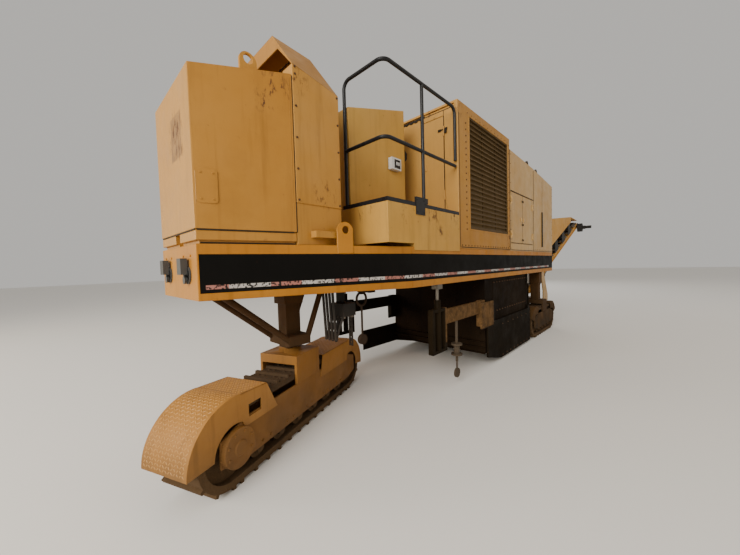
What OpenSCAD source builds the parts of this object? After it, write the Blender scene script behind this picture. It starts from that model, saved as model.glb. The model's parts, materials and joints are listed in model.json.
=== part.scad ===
// Half-lane cold planer on three crawler tracks, parked.
// +X points to the tapered nose, +Y to the machine's left, +Z up, ground at Z = 0.
// Lengths along the machine are stations: distances measured back from the nose face.

/* [Main frame] */
// Half width of the frame at the nose face
nose_half_w = 490; // [440:5:540]
// Half width of the straight part of the frame
frame_half_w = 948; // [930:2:960]
// Length of the tapered nose
taper_len = 1996; // [1900:4:2100]
// Overall length of the frame
frame_len = 7940; // [7900:5:8000]
// Height of the frame's underside
frame_z0 = 1430; // [1415:1:1440]
// Rise of the underside from the taper's end to the nose face
nose_rise = 32; // [20:1:45]
// Height of the frame's top face
frame_z1 = 1883; // [1860:1:1910]
// Width of each side beam
beam_w = 130; // [110:2:150]
// Thickness of the deck plate
deck_t = 12; // [8:1:20]
// Running clearance between moving pieces
run_gap = 6; // [5:0.5:8]
// Gap between pieces that seat on each other
seat_gap = 0.3; // [0.2:0.1:0.5]
// Height of the lug on each tapered side above the frame
lug_h = 220; // [200:5:240]

/* [Nose cabinet] */
// Length of the nose cabinet
cab_len = 740; // [700:5:760]
// Height of the base strip under the cabinet
cab_base_h = 92; // [80:1:110]
// Height of the cabinet above its base at the nose
cab_h = 1171; // [1100:5:1200]
// Rise of the cabinet's roof towards the rear
cab_rise = 150; // [100:5:180]

/* [Cooler housing and scoop] */
// Length of the cooler housing
cooler_len = 500; // [470:5:540]
// Half width of the cooler housing
cooler_half_w = 662; // [640:2:680]
// Height of the housing's lower body above the frame
cooler_base_h = 365; // [340:5:400]
// Height of the bolted side panel at its front edge
cooler_panel_h = 1157; // [1130:1:1180]
// Height of the bolted side panel at its rear edge
cooler_rear_h = 1064; // [1040:1:1090]
// Height of the scoop's flat top above the side panel
scoop_rise = 385; // [360:5:410]
// Half width of the scoop's flat top
scoop_half_w = 358; // [340:2:370]
// Length of the scoop's flat top
scoop_len = 400; // [370:5:430]
// Height of the lip across the scoop's mouth
scoop_lip = 154; // [140:2:170]
// Thickness of the scoop's sheet
scoop_t = 14; // [10:1:20]

/* [Operator's platform] */
// Station of the platform's front face
plat_s0 = 1597; // [1560:1:1620]
// Height of the deck surface above the frame
plat_h = 447; // [430:1:460]
// Length of the raised front part of the skirt
plat_step = 435; // [400:5:470]
// Height of the open recess under the platform's front
plat_recess_h = 35; // [30:1:45]
// Plate thickness of the platform
plat_t = 14; // [10:1:20]
// Half width of the housing between the walkways
console_half_w = 350; // [340:1:370]
// Length of the housing between the walkways
console_len = 1040; // [1000:5:1080]
// Height of the housing above the deck at its front
console_h0 = 1155; // [1120:5:1180]
// Height of the housing above the deck at its rear
console_h1 = 1465; // [1440:5:1480]
// Diameter of the hand rail's tube
rail_d = 40; // [34:1:46]
// Height of the hand rail above the deck
rail_h = 1415; // [1370:5:1440]
// Length of the hand rail along the side
rail_len = 1425; // [1380:5:1440]

/* [Radiator housing and rear hood] */
// Station of the radiator housing's front wall
rad_s0 = 3080; // [3060:1:3100]
// Length of the radiator housing
rad_len = 1920; // [1900:5:1940]
// Height of the radiator housing above the frame
rad_h = 1987; // [1960:1:2000]
// Wall thickness of the housings
wall_t = 40; // [30:1:50]
// Length of the louvre opening
louvre_len = 1480; // [1420:5:1520]
// Height of the louvre opening's lower edge above the frame
louvre_z = 287; // [270:1:300]
// Distance of the louvre opening's upper edge from the roof
louvre_top = 130; // [115:1:145]
// Number of louvre blades on each side
louvre_n = 22; // [18:1:26]
// Height of the rear hood above the frame at its front
hood_h0 = 1817; // [1790:1:1840]
// Height of the rear hood above the frame at its rear
hood_h1 = 1637; // [1600:1:1660]
// Thickness of the hood's doors
door_t = 36; // [30:1:40]

/* [Cutting drum] */
// Station of the drum's axis
drum_s = 4750; // [4720:5:4800]
// Radius of the drum's shell
drum_r = 400; // [380:5:420]
// Height of the tooth holders above the shell
holder_h = 60; // [50:1:70]
// Length of a tooth beyond its holder
tooth_l = 72; // [60:1:80]
// Height of the tooth tips above the ground
tooth_clear = 24; // [15:1:40]
// Number of teeth on each half of the drum
tooth_n = 22; // [16:1:26]
// Station of the drum housing's front wall
house_s0 = 3970; // [3950:1:4000]
// Length of the drum housing
house_len = 2170; // [2150:5:2200]
// Height of the housing's lower edge above the ground
house_z0 = 230; // [200:5:260]
// Thickness of the housing's walls
house_t = 25; // [20:1:30]

/* [Tracks] */
// Width of a track shoe
shoe_w = 400; // [380:5:410]
// Radius of the track's ends, without the grousers
track_r = 300; // [290:2:310]
// Height of the grousers
grouser_h = 26; // [20:1:32]
// Thickness of the track's chain and shoes
chain_t = 55; // [45:1:60]
// Distance between the end wheels of the nose track
nose_track_len = 2000; // [1960:5:2040]
// Distance between the end wheels of a rear track
rear_track_len = 1260; // [1220:5:1270]
// Station of the nose track's steering axis
nose_track_s = 1020; // [1000:5:1040]
// Angle that the nose track is steered to at rest
steer_rest = 22; // [15:1:24]
// Clearance between the drum housing and the rear tracks' shoes
rear_track_gap = 64; // [60:2:84]
// Distance of the rear tracks' centre from the middle
rear_track_y = 772; // [765:1:775]

/* [Discharge conveyor] */
// Distance of the conveyor's swing axis behind the frame
swing_gap = 410; // [380:5:440]
// Slope of the conveyor at rest
conv_slope = 19; // [17:0.5:20]
// Length of the conveyor behind its lift pivot
conv_len = 6450; // [6200:10:6600]
// Length of the conveyor's tail ahead of its lift pivot
conv_tail = 420; // [400:5:430]
// Half width of the conveyor's frame
conv_half_w = 430; // [400:5:440]
// Width of the belt
belt_w = 610; // [580:5:640]
// Depth of the conveyor's side channels
chan_h = 150; // [130:5:170]
// Height of the lift pivot above the ground
lift_z = 1040; // [1030:5:1050]

/* [Hidden] */
$fn = 48;
shoe_pitch = 150;
frame_plate_t = 18;
fender_t = 8;
fender_gap = 100;
// Reach of the steered track ahead of the nose face and of the conveyor's head behind it
swing_s = frame_len + swing_gap;
nose_front = (nose_track_len/2 + track_r + fender_gap)*cos(steer_rest)
    + (shoe_w/2 + frame_plate_t + seat_gap + fender_t)*sin(steer_rest) - nose_track_s;
conv_rear = swing_s + (conv_len + seat_gap + 40)*cos(conv_slope) + chan_h/2*sin(conv_slope);
nose_x = (conv_rear - nose_front)/2;
drum_tip_r = drum_r + holder_h + tooth_l;
drum_z = drum_tip_r + tooth_clear;
cab_z = frame_z1 + 8 + cab_base_h + 10;
deck_z = frame_z1 + plat_h;
rad_s1 = rad_s0 + rad_len;
louvre_h = rad_h - louvre_z - louvre_top;
door_z0 = frame_z1 + 150;
door_z1 = frame_z1 + 1080;
door_s0 = rad_s1 + 60;
door_w = 630;
rear_track_s = house_s0 + house_len + rear_track_gap + track_r + grouser_h + rear_track_len/2;
// lift cylinders: lower pins and the eyes on the conveyor
base_z = 690;
cyl_y = 346;
ear_x = 180;
ear_z = base_z + 60 + run_gap;
eye_local = 2010;
eye_drop = 66;
eye_bore = 40;
eye_x = eye_local*cos(conv_slope) + (chan_h/2 + eye_drop)*sin(conv_slope);
eye_z = lift_z + eye_local*sin(conv_slope) - (chan_h/2 + eye_drop)*cos(conv_slope);
cyl_len = norm([eye_x - ear_x, eye_z - ear_z]);
cyl_a = atan2(eye_z - ear_z, eye_x - ear_x);

// X of a station
function sta(d) = nose_x - d;
// Half width of the frame at a station
function half_w(d) = nose_half_w + (frame_half_w - nose_half_w)*min(d, taper_len)/taper_len;

// Block between two stations, two sides and two heights
module block(s, y, z)
    translate([sta(s[1]), y[0], z[0]]) cube([s[1] - s[0], y[1] - y[0], z[1] - z[0]]);

// Outline in X and Z, drawn across the machine from y0 to y1
module across(y0, y1)
    translate([0, y1, 0]) rotate([90, 0, 0]) linear_extrude(y1 - y0) children();

// Bar with its axis across the machine
module cross_bar(d, y0, y1)
    translate([0, y1, 0]) rotate([90, 0, 0]) cylinder(h = y1 - y0, d = d);

// Bar between two points in one upright plane along the machine, at y = 0
module strut(a, b, d) {
    v = b - a;
    translate([a[0], 0, a[1]]) rotate([0, atan2(v[0], v[1]), 0]) cylinder(h = norm(v), d = d);
}

// Pieces mirrored to both sides of the machine
module both_sides() {
    children();
    mirror([0, 1, 0]) children();
}

// Plan of the frame, shrunk by a side margin
module frame_plan(margin, s0, s1) {
    near = half_w(s0) - margin;
    polygon(concat([[sta(s0), -near], [sta(s0), near]],
        s0 < taper_len ? [[sta(taper_len), frame_half_w - margin]] : [],
        [[sta(s1), frame_half_w - margin], [sta(s1), -frame_half_w + margin]],
        s0 < taper_len ? [[sta(taper_len), -frame_half_w + margin]] : []));
}

// Height of the underside at a station
function under(d) = frame_z0 + nose_rise*max(0, 1 - d/taper_len);
taper_a = atan((frame_half_w - nose_half_w)/taper_len);

// Plate drawn on the tapered left side from a station and a height, standing out by t and sunk by 10
module on_taper(s, z, t)
    translate([sta(s), half_w(s), z]) rotate([0, 0, 180 - taper_a]) translate([0, -t, 0])
        rotate([90, 0, 0]) mirror([0, 0, 1]) linear_extrude(t + 10) children();

// Main frame
module main_frame() color("goldenrod") {
    // lug on each tapered side
    both_sides() difference() {
        on_taper(1108, frame_z1 - 76, 8) union() {
            square([171, lug_h + 76 - 85]);
            translate([85.5, lug_h + 76 - 85.5]) circle(85.5);
        }
        on_taper(1108, frame_z1 - 76, 9) translate([91, lug_h + 3]) circle(37);
    }
    difference() {
        translate([0, 0, frame_z0]) linear_extrude(frame_z1 - frame_z0) frame_plan(0, 0, frame_len);
        translate([0, 0, frame_z0 - 1]) linear_extrude(frame_z1 - frame_z0 - deck_t + 1)
            difference() {
                frame_plan(beam_w, 160, frame_len - 160);
                for (s = [nose_track_s, 2600, house_s0 - 100, house_s0 + house_len + 90])
                    translate([sta(s) - 200, -frame_half_w]) square([s == nose_track_s ? 400 : 150, 2*frame_half_w]);
            }
        // underside rising towards the nose
        across(-frame_half_w - 1, frame_half_w + 1)
            polygon([[sta(-5), frame_z0 - 5], [sta(-5), under(0)], [sta(taper_len), frame_z0],
                [sta(taper_len), frame_z0 - 5]]);
    }
}

// Nose cabinet
module taper_body(s0, s1, inset, z0, z1)
    translate([0, 0, z0]) linear_extrude(z1 - z0)
        polygon([[sta(s0), -half_w(s0) + inset], [sta(s0), half_w(s0) - inset],
            [sta(s1), half_w(s1) - inset], [sta(s1), -half_w(s1) + inset]]);

module nose_cabinet() color("goldenrod") {
    // base strip, split by a slot in the nose face
    difference() {
        union() {
            taper_body(30, cab_len, 30, frame_z1 + seat_gap, frame_z1 + 28);
            taper_body(4, cab_len, 6, frame_z1 + 28, frame_z1 + cab_base_h + 8);
        }
        block([3, 60], [-35, 85], [frame_z1 + 8, frame_z1 + cab_base_h + 9]);
    }
    // body with the roof rising to the rear and a rounded far corner
    difference() {
        union() {
            taper_body(0, cab_len, 0, cab_z, cab_z + cab_h + cab_rise);
            taper_body(12, cab_len, 20, frame_z1 + cab_base_h + 8, cab_z);
        }
        across(-frame_half_w, frame_half_w)
            polygon([[sta(-10), cab_z + cab_h - 10*cab_rise/cab_len],
                [sta(cab_len + 10), cab_z + cab_h + (cab_len + 10)*cab_rise/cab_len],
                [sta(cab_len + 10), cab_z + 2*cab_h], [sta(-10), cab_z + 2*cab_h]]);
    }
    // access cover on each side
    both_sides() on_taper(20, cab_z + 187, 6) union() {
        translate([25, 0]) square([92, 250]);
        translate([0, 25]) square([142, 200]);
        for (x = [25, 117], z = [25, 225]) translate([x, z]) circle(25);
    }
}

// Cooler housing and air scoop
cooler_s0 = cab_len + 8;
cooler_s1 = cooler_s0 + cooler_len;
panel_z = frame_z1 + cooler_base_h;
panel_top0 = panel_z + cooler_panel_h;
panel_top1 = panel_z + cooler_rear_h;

module cooler_housing() color("goldenrod") {
    // lower body
    block([cooler_s0, cooler_s1], [-cooler_half_w + 8, cooler_half_w - 8], [frame_z1 + seat_gap, panel_z - 4]);
    // step box on each side
    both_sides()
        block([cooler_s0 + 142, cooler_s0 + 400], [cooler_half_w - 8, cooler_half_w + 62],
            [frame_z1 + 67, frame_z1 + 127]);
    // upper body behind the bolted side panels
    difference() {
        across(-cooler_half_w, cooler_half_w)
            polygon([[sta(cooler_s0), panel_z - 4], [sta(cooler_s0), panel_top0], [sta(cooler_s1), panel_top1],
                [sta(cooler_s1), panel_z - 4]]);
        // duct behind the scoop's mouth
        block([cooler_s0 - 1, cooler_s1 - 60], [-scoop_half_w - 150, scoop_half_w + 150],
            [cab_z + cab_h - 60, panel_top0 + 10]);
    }
}

// Cross-section of the scoop: flat top, a sloped shoulder on each side and a short upright skirt
module scoop_slice(s, y1, z1, y0, z0)
    translate([sta(s), 0, 0]) rotate([90, 0, 90]) mirror([0, 0, 1]) linear_extrude(1)
        polygon([[-y0, z0 - 120], [-y0, z0], [-y1, z1], [y1, z1], [y0, z0], [y0, z0 - 120]]);

scoop_z = panel_top0 + scoop_rise;
module air_scoop() color("goldenrod") {
    t = scoop_t;
    difference() {
        hull() {
            scoop_slice(cooler_s0 + 1, scoop_half_w, scoop_z, cooler_half_w, panel_top0);
            scoop_slice(cooler_s0 + scoop_len, scoop_half_w + 12, scoop_z - 38, scoop_half_w + 112, scoop_z - 200);
            scoop_slice(cooler_s1 - 1, cooler_half_w - 60, panel_top1 + 2, cooler_half_w, panel_top1);
        }
        hull() {
            scoop_slice(cooler_s0 + 1 + t, scoop_half_w - 0.6*t, scoop_z - t, cooler_half_w - t, panel_top0 - 0.4*t);
            scoop_slice(cooler_s0 + scoop_len - t, scoop_half_w + 12 - 0.6*t, scoop_z - 38 - 1.5*t,
                scoop_half_w + 112 - t, scoop_z - 200 - t);
            scoop_slice(cooler_s1 - 3*t, cooler_half_w - 60 - t, panel_top1 - t, cooler_half_w - t, panel_top1 - t);
        }
        // mouth
        translate([sta(cooler_s0 - 1), 0, 0]) rotate([90, 0, 90]) mirror([0, 0, 1]) linear_extrude(t + 3)
            polygon([[t - cooler_half_w, panel_top0 - 200], [t - cooler_half_w, panel_top0 + 6],
                [-scoop_half_w - scoop_lip/2, scoop_z - scoop_lip], [scoop_half_w + scoop_lip/2, scoop_z - scoop_lip],
                [cooler_half_w - t, panel_top0 + 6], [cooler_half_w - t, panel_top0 - 200]]);
        // seat on the side panels
        across(-cooler_half_w - 1, cooler_half_w + 1)
            polygon([[sta(cooler_s0 - 20), panel_top0 - 400], [sta(cooler_s0 - 20), panel_top0 + seat_gap],
                [sta(cooler_s0), panel_top0 + seat_gap], [sta(cooler_s1), panel_top1 + seat_gap],
                [sta(cooler_s1 + 1), panel_top1 + seat_gap], [sta(cooler_s1 + 1), panel_top0 - 400]]);
    }
}

// Operator's platform
plat_half_w = frame_half_w + 6;
module operator_platform() color("goldenrod") {
    skirt_z = frame_z1 + plat_recess_h;
    difference() {
        union() {
            block([plat_s0, rad_s0 - 2], [-plat_half_w, plat_half_w], [skirt_z, deck_z]);
            block([plat_s0 + plat_step, rad_s0 - 2], [-plat_half_w, plat_half_w], [frame_z1 + seat_gap, deck_z]);
        }
        // open underneath, with skirts all round
        block([plat_s0 + plat_t, plat_s0 + plat_step], [-plat_half_w + plat_t, plat_half_w - plat_t],
            [frame_z1 - 1, deck_z - plat_t]);
        block([plat_s0 + plat_step + plat_t, rad_s0 - 2 - plat_t], [-plat_half_w + plat_t, plat_half_w - plat_t],
            [frame_z1 - 1, deck_z - plat_t]);
    }
    // wall under the front, set back from the face
    block([plat_s0 + 60, plat_s0 + 90], [-560, 560], [frame_z1 + seat_gap, deck_z - plat_t]);
    // lip of the side skirts, hanging over the frame's top edge
    both_sides() block([plat_s0 + plat_step, rad_s0 - 2], [frame_half_w + seat_gap, plat_half_w],
        [frame_z1 - 38, frame_z1 + 1]);
}

// Hand rails
module side_rail() {
    r = 90;
    top = deck_z + rail_h;
    mid = rail_h - 762;
    post_s = plat_s0 + 688;
    y = plat_half_w - 14 - rail_d/2;
    x0 = sta(plat_s0 + 8 + seat_gap + rail_d/2);
    xr = x0 - rail_len;
    yi = 330;
    // top rail across the front, round the corner and along the side
    translate([x0, yi + r, top]) rotate([-90, 0, 0]) cylinder(h = y - yi - 2*r, d = rail_d);
    translate([x0 - r, y - r, top]) rotate_extrude(angle = 90) translate([r, 0]) circle(d = rail_d);
    translate([xr + r, y, top]) rotate([0, 90, 0]) cylinder(h = rail_len - 2*r, d = rail_d);
    // bends down at both ends
    translate([x0, yi + r, top - r]) rotate([0, 0, -90]) tube_bend_down(r, rail_d);
    translate([xr + r, y, top - r]) rotate([0, 0, 180]) tube_bend_down(r, rail_d);
    // front post and rear drop
    translate([x0, yi, deck_z + seat_gap]) cylinder(h = rail_h - r - seat_gap, d = rail_d);
    translate([xr, y, deck_z + rail_h - 690]) cylinder(h = 690 - r, d = rail_d);
    // middle post
    translate([sta(post_s), y, deck_z + seat_gap]) cylinder(h = rail_h - seat_gap, d = rail_d);
    // mid rail
    translate([x0, yi, deck_z + mid]) rotate([-90, 0, 0]) cylinder(h = y - yi - r, d = rail_d);
    translate([x0 - r, y - r, deck_z + mid]) rotate_extrude(angle = 90) translate([r, 0]) circle(d = rail_d);
    translate([xr, y, deck_z + mid]) rotate([0, 90, 0]) cylinder(h = rail_len - r, d = rail_d);
    // toe boards and the clamp of the middle post, outside them
    block([plat_s0, plat_s0 + 14], [yi - 40, plat_half_w], [deck_z + seat_gap, deck_z + 42]);
    block([plat_s0, rad_s0 - 8], [plat_half_w - 16, plat_half_w], [deck_z + seat_gap, deck_z + 42]);
    block([post_s - 210, post_s - 40], [plat_half_w + seat_gap, plat_half_w + 10], [deck_z - 90, deck_z + 105]);
    block([post_s - 210, post_s + 20], [plat_half_w - 16, plat_half_w + 10], [deck_z + 43, deck_z + 105]);
    block([post_s - 210, post_s - 40], [plat_half_w - 16, plat_half_w + 10], [deck_z + 30, deck_z + 60]);
}

// Quarter bend from level (towards +x) down to upright
module tube_bend_down(r, d)
    rotate([90, 0, 0]) rotate_extrude(angle = 90) translate([r, 0]) circle(d = d);

module hand_rails() color("dimgray") both_sides() side_rail();

// Housing between the walkways
console_s0 = plat_s0 + 60;
module platform_housing() color("goldenrod") {
    difference() {
        across(-console_half_w, console_half_w)
            polygon([[sta(console_s0), deck_z + seat_gap], [sta(console_s0), deck_z + console_h0],
                [sta(console_s0 + console_len), deck_z + console_h1],
                [sta(console_s0 + console_len), deck_z + seat_gap]]);
        // recess of the switch box on each side
        both_sides() block([box_s, box_s + box_l], [console_half_w - 6, console_half_w + 1], [box_z, box_z + box_h]);
    }
}

// Console with its levers at the operator's standing place
module control_console() color("dimgray") {
    s = console_s0 + console_len + seat_gap;
    across(-250, 250)
        polygon([[sta(s), deck_z + 700], [sta(s), deck_z + 1080], [sta(s + 190), deck_z + 960],
            [sta(s + 190), deck_z + 880]]);
    for (y = [-180:60:180])
        translate([sta(s + 120), y, deck_z + 990]) {
            cylinder(h = 70, d = 12);
            translate([0, 0, 80]) sphere(d = 28);
        }
}

// Hinge at a station and a side: knuckles of the fixed leaf with the pin, or the door's own knuckle
knuckle_r = 11;
knuckle_h = 60;
module hinge_fixed(s, y, z, leaf)
    translate([sta(s), y, z]) {
        for (dz = [-knuckle_h/2 - 36, knuckle_h/2 + seat_gap])
            translate([0, 0, dz]) {
                cylinder(h = 36 - seat_gap, r = knuckle_r);
                translate(leaf) translate([-6, -6, 0]) cube([12, 12, 36 - seat_gap]);
            }
        translate([0, 0, -knuckle_h/2 - 36]) cylinder(h = knuckle_h + 72, r = 5);
    }
module hinge_moving(s, y, z, leaf)
    translate([sta(s), y, z - knuckle_h/2]) difference() {
        union() {
            cylinder(h = knuckle_h, r = knuckle_r);
            translate(leaf) translate([-6, -6, 0]) cube([12, 12, knuckle_h]);
        }
        translate([0, 0, -1]) cylinder(h = knuckle_h + 2, r = 5.05);
    }
function hinge_heights(z0, z1) = [z0 + (z1 - z0)/6, z1 - (z1 - z0)/6];

// Radiator housing
front_door_y0 = 400;
front_door_y1 = 740;
front_door_z0 = deck_z + 90;
front_door_z1 = frame_z1 + rad_h - 150;
module radiator_housing() color("goldenrod") {
    for (z = hinge_heights(front_door_z0, front_door_z1))
        hinge_fixed(rad_s0 - knuckle_r - 1, front_door_y1 + 8, z, [-8, 0, 0]);
    difference() {
        block([rad_s0, rad_s1], [-frame_half_w, frame_half_w], [frame_z1 + seat_gap, frame_z1 + rad_h]);
        block([rad_s0 + wall_t, rad_s1 - wall_t], [-frame_half_w + wall_t, frame_half_w - wall_t],
            [frame_z1 + wall_t, frame_z1 + rad_h - wall_t]);
        // louvre openings
        block([rad_s0 + 340, rad_s0 + 340 + louvre_len], [-frame_half_w - 1, frame_half_w + 1],
            [frame_z1 + louvre_z, frame_z1 + louvre_z + louvre_h]);
        // front doorway
        block([rad_s0 - 1, rad_s0 + wall_t + 1], [front_door_y0, front_door_y1],
            [front_door_z0, front_door_z1]);
    }
}

module louvre_grilles() color("saddlebrown") both_sides() {
    s0 = rad_s0 + 340 + seat_gap;
    s1 = rad_s0 + 340 + louvre_len - seat_gap;
    z0 = frame_z1 + louvre_z + seat_gap;
    z1 = z0 + louvre_h - 2*seat_gap;
    pitch = (z1 - z0 - 40)/louvre_n;
    y1 = frame_half_w - 4;
    y0 = frame_half_w - wall_t + 2;
    difference() {
        block([s0, s1], [y0, y1], [z0, z1]);
        block([s0 + 24, s1 - 24], [y0 - 1, y1 + 1], [z0 + 20, z1 - 20]);
    }
    for (i = [0:louvre_n - 1])
        translate([sta(s1 - 20), y1 - 6, z0 + 24 + i*pitch]) rotate([-55, 0, 0])
            translate([0, -38, 0]) cube([s1 - s0 - 40, 40, 5]);
}

module radiator_core() color("dimgray")
    block([rad_s0 + 500, rad_s1 - 120], [-frame_half_w + 160, frame_half_w - 160],
        [frame_z1 + wall_t + seat_gap, frame_z1 + rad_h - 120]);

door_gap = 6;
module front_door() color("goldenrod") {
    block([rad_s0, rad_s0 + door_t], [front_door_y0 + door_gap, front_door_y1 - door_gap],
        [front_door_z0 + door_gap, front_door_z1 - door_gap]);
    for (z = hinge_heights(front_door_z0, front_door_z1))
        hinge_moving(rad_s0 - knuckle_r - 1, front_door_y1 + 8, z, [-9, -16, 0]);
    block([rad_s0 - 14, rad_s0], [front_door_y0 + 30, front_door_y0 + 60], [deck_z + 700, deck_z + 780]);
}

// Rear hood
function hood_top(s) = frame_z1 + (s < rad_s1 + 1350 ? hood_h0 - 57*(s - rad_s1)/1350
    : hood_h0 - 57 - (hood_h0 - 57 - hood_h1)*(s - rad_s1 - 1350)/(frame_len + 10 - rad_s1 - 1350));

module hood_profile(inset)
    polygon([[sta(rad_s1 + seat_gap + inset), frame_z1 + seat_gap + inset],
        [sta(rad_s1 + seat_gap + inset), hood_top(rad_s1) - inset],
        [sta(rad_s1 + 1350), hood_top(rad_s1 + 1350) - inset],
        [sta(frame_len + 10 - inset), hood_top(frame_len + 10) - inset],
        [sta(frame_len + 10 - inset), frame_z1 + seat_gap + inset]]);

module rear_hood() color("goldenrod") {
    difference() {
        across(-frame_half_w, frame_half_w) hood_profile(0);
        across(-frame_half_w + wall_t, frame_half_w - wall_t) hood_profile(wall_t);
        block([door_s0, door_s0 + 2*door_w], [-frame_half_w - 1, frame_half_w + 1], [door_z0, door_z1]);
    }
    both_sides() {
        for (s = [door_s0, door_s0 + 2*door_w], z = hinge_heights(door_z0, door_z1))
            hinge_fixed(s, frame_half_w + knuckle_r + 1, z, [s == door_s0 ? 8 : -8, -7, 0]);
        // upright bar by the rear seam
        block([frame_len - 940, frame_len - 880], [frame_half_w - 1, frame_half_w + 16], [frame_z1 + 120, frame_z1 + 900]);
    }
}

module hood_door(s0, hinge_s, latch_s) {
    for (z = hinge_heights(door_z0, door_z1))
        hinge_moving(hinge_s, frame_half_w + knuckle_r + 1, z, [hinge_s < latch_s ? -9 : 9, -8, 0]);
    block([s0 + door_gap/2, s0 + door_w - door_gap/2], [frame_half_w - door_t, frame_half_w],
        [door_z0 + door_gap, door_z1 - door_gap]);
    block([latch_s - 25, latch_s + 25], [frame_half_w, frame_half_w + 14], [door_z0 + 420, door_z0 + 500]);
}
module left_door_front() color("goldenrod") hood_door(door_s0, door_s0, door_s0 + door_w - 70);
module left_door_rear() color("goldenrod") hood_door(door_s0 + door_w, door_s0 + 2*door_w, door_s0 + door_w + 70);
module right_door_front() color("goldenrod") mirror([0, 1, 0]) hood_door(door_s0, door_s0, door_s0 + door_w - 70);
module right_door_rear() color("goldenrod")
    mirror([0, 1, 0]) hood_door(door_s0 + door_w, door_s0 + 2*door_w, door_s0 + door_w + 70);

module engine_block() color("dimgray") {
    block([rad_s1 + 250, frame_len - 790], [-420, 420], [frame_z1 + 160, frame_z1 + 1300]);
    // mounts on the frame's deck
    for (s = [rad_s1 + 500, frame_len - 1040])
        block([s - 60, s + 60], [-500, 500], [frame_z1 + wall_t + 2*seat_gap, frame_z1 + 160]);
}

// Lifting lugs and exhaust
module lug(s, y, z, r)
    translate([sta(s), y, z]) rotate([90, 0, 0]) difference() {
        union() {
            translate([-70, -40, -12]) cube([140, 85, 24]);
            translate([0, 45, -12]) cylinder(h = 24, r = 70);
        }
        translate([0, 62, -13]) cylinder(h = 26, r = r);
    }

module lifting_lugs() color("goldenrod") difference() {
    union() {
        // eye on the nose cabinet's roof
        lug(420, half_w(420) - 40, cab_z + cab_h + cab_rise*430/cab_len + 22, 38);
        for (s = [rad_s1 + 1180, rad_s1 + 1800]) both_sides()
            lug(s, frame_half_w - 60, hood_top(s + 70) + 6, 32);
    }
    // seats on the roofs
    across(-frame_half_w, frame_half_w) translate([0, seat_gap]) hood_profile(0);
    across(-frame_half_w, frame_half_w)
        polygon([[sta(0), cab_z], [sta(0), cab_z + cab_h + seat_gap],
            [sta(cab_len), cab_z + cab_h + cab_rise + seat_gap], [sta(cab_len), cab_z]]);
}

module exhaust_stub() color("dimgray") difference() {
    translate([sta(rad_s1 + 900), -480, hood_top(rad_s1 + 900) - 20]) difference() {
        cylinder(h = 190, d = 150);
        translate([0, 0, 60]) cylinder(h = 150, d = 138);
    }
    across(-frame_half_w, frame_half_w) translate([0, seat_gap]) hood_profile(0);
}

// Lamps with a round horn behind each, on the nose face
lamp_y = 270;
lamp_z = 1721;
module work_lamps() color("gainsboro") {
    for (y = [-lamp_y, lamp_y]) {
        block([-61, -16], [y - 52, y + 52], [lamp_z - 62, lamp_z + 62]);
        // arm and its foot on the face
        block([-30, -seat_gap], [y - 18, y + 18], [lamp_z - 96, lamp_z - 50]);
        // horn
        translate([sta(-seat_gap), y + 18, lamp_z - 66]) rotate([0, 90, 0]) cylinder(h = 12, d = 140);
        translate([sta(-seat_gap), y + 18, lamp_z - 104]) rotate([0, 90, 0]) cylinder(h = 36, d1 = 50, d2 = 62);
    }
    // switch box on the platform's housing
    both_sides() block([box_s, box_s + box_l], [console_half_w - 6 + seat_gap, console_half_w + 60], [box_z, box_z + box_h]);
}
box_s = console_s0 + 690;
box_l = 190;
box_z = deck_z + 600;
box_h = 150;

// Drum housing
house_s1 = house_s0 + house_len;
house_half_w = frame_half_w - 43;
mold_s = drum_s + drum_tip_r + 290;
shaft_r = 90;
module drum_housing() color("goldenrod") {
    // side walls with the bearing bores of the drum
    both_sides() {
        difference() {
            block([house_s0, house_s1], [house_half_w - house_t, house_half_w], [house_z0, frame_z0 - seat_gap]);
            translate([sta(drum_s), 0, drum_z]) cross_bar(2*shaft_r + 0.1, 0, frame_half_w);
        }
        // bolted upper panel
        block([house_s0 + 310, house_s1 - 200], [house_half_w, house_half_w + 5],
            [frame_z0 - 640, frame_z0 - 60]);
        // guides of the moldboard
        for (ds = [-28 - seat_gap, 14 + seat_gap])
            block([mold_s + ds, mold_s + ds + 14], [house_half_w - house_t - 50, house_half_w - house_t],
                [house_z0, frame_z0 - 200]);
        // mounting flange under the frame
        block([house_s0, house_s1], [house_half_w - 90, house_half_w], [frame_z0 - 20, frame_z0 - seat_gap]);
    }
    // front wall with its stiffening ribs
    block([house_s0, house_s0 + house_t], [-house_half_w, house_half_w], [house_z0, frame_z0 - seat_gap]);
    for (z = [house_z0, house_z0 + 90, house_z0 + 180])
        block([house_s0 - 40, house_s0], [-house_half_w, house_half_w], [z, z + 14]);
    // roof over the drum
    block([house_s0 + house_t, mold_s - 60], [-house_half_w, house_half_w], [frame_z0 - 220, frame_z0 - 200]);
}

module moldboard() color("saddlebrown")
    difference() {
        block([mold_s - 14, mold_s + 14],
            [-house_half_w + house_t + run_gap, house_half_w - house_t - run_gap], [90, frame_z0 - 330]);
        // window to the gathering conveyor
        block([mold_s - 15, mold_s + 15], [-340, 340], [330, 820]);
    }

// Cutting drum
// Tooth holder and tooth, standing on the shell at angle a
module tooth(a, y, lean)
    translate([sta(drum_s), y, drum_z]) rotate([0, a, 0]) {
        translate([-45, -38, drum_r - 12]) cube([90, 76, holder_h + 12]);
        translate([-8, 0, drum_r + holder_h - 14]) rotate([0, -lean, 0]) {
            cylinder(h = 34, d = 46, $fn = 20);
            translate([0, 0, 34]) cylinder(h = tooth_l - 20, d1 = 34, d2 = 12, $fn = 20);
        }
    }

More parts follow.
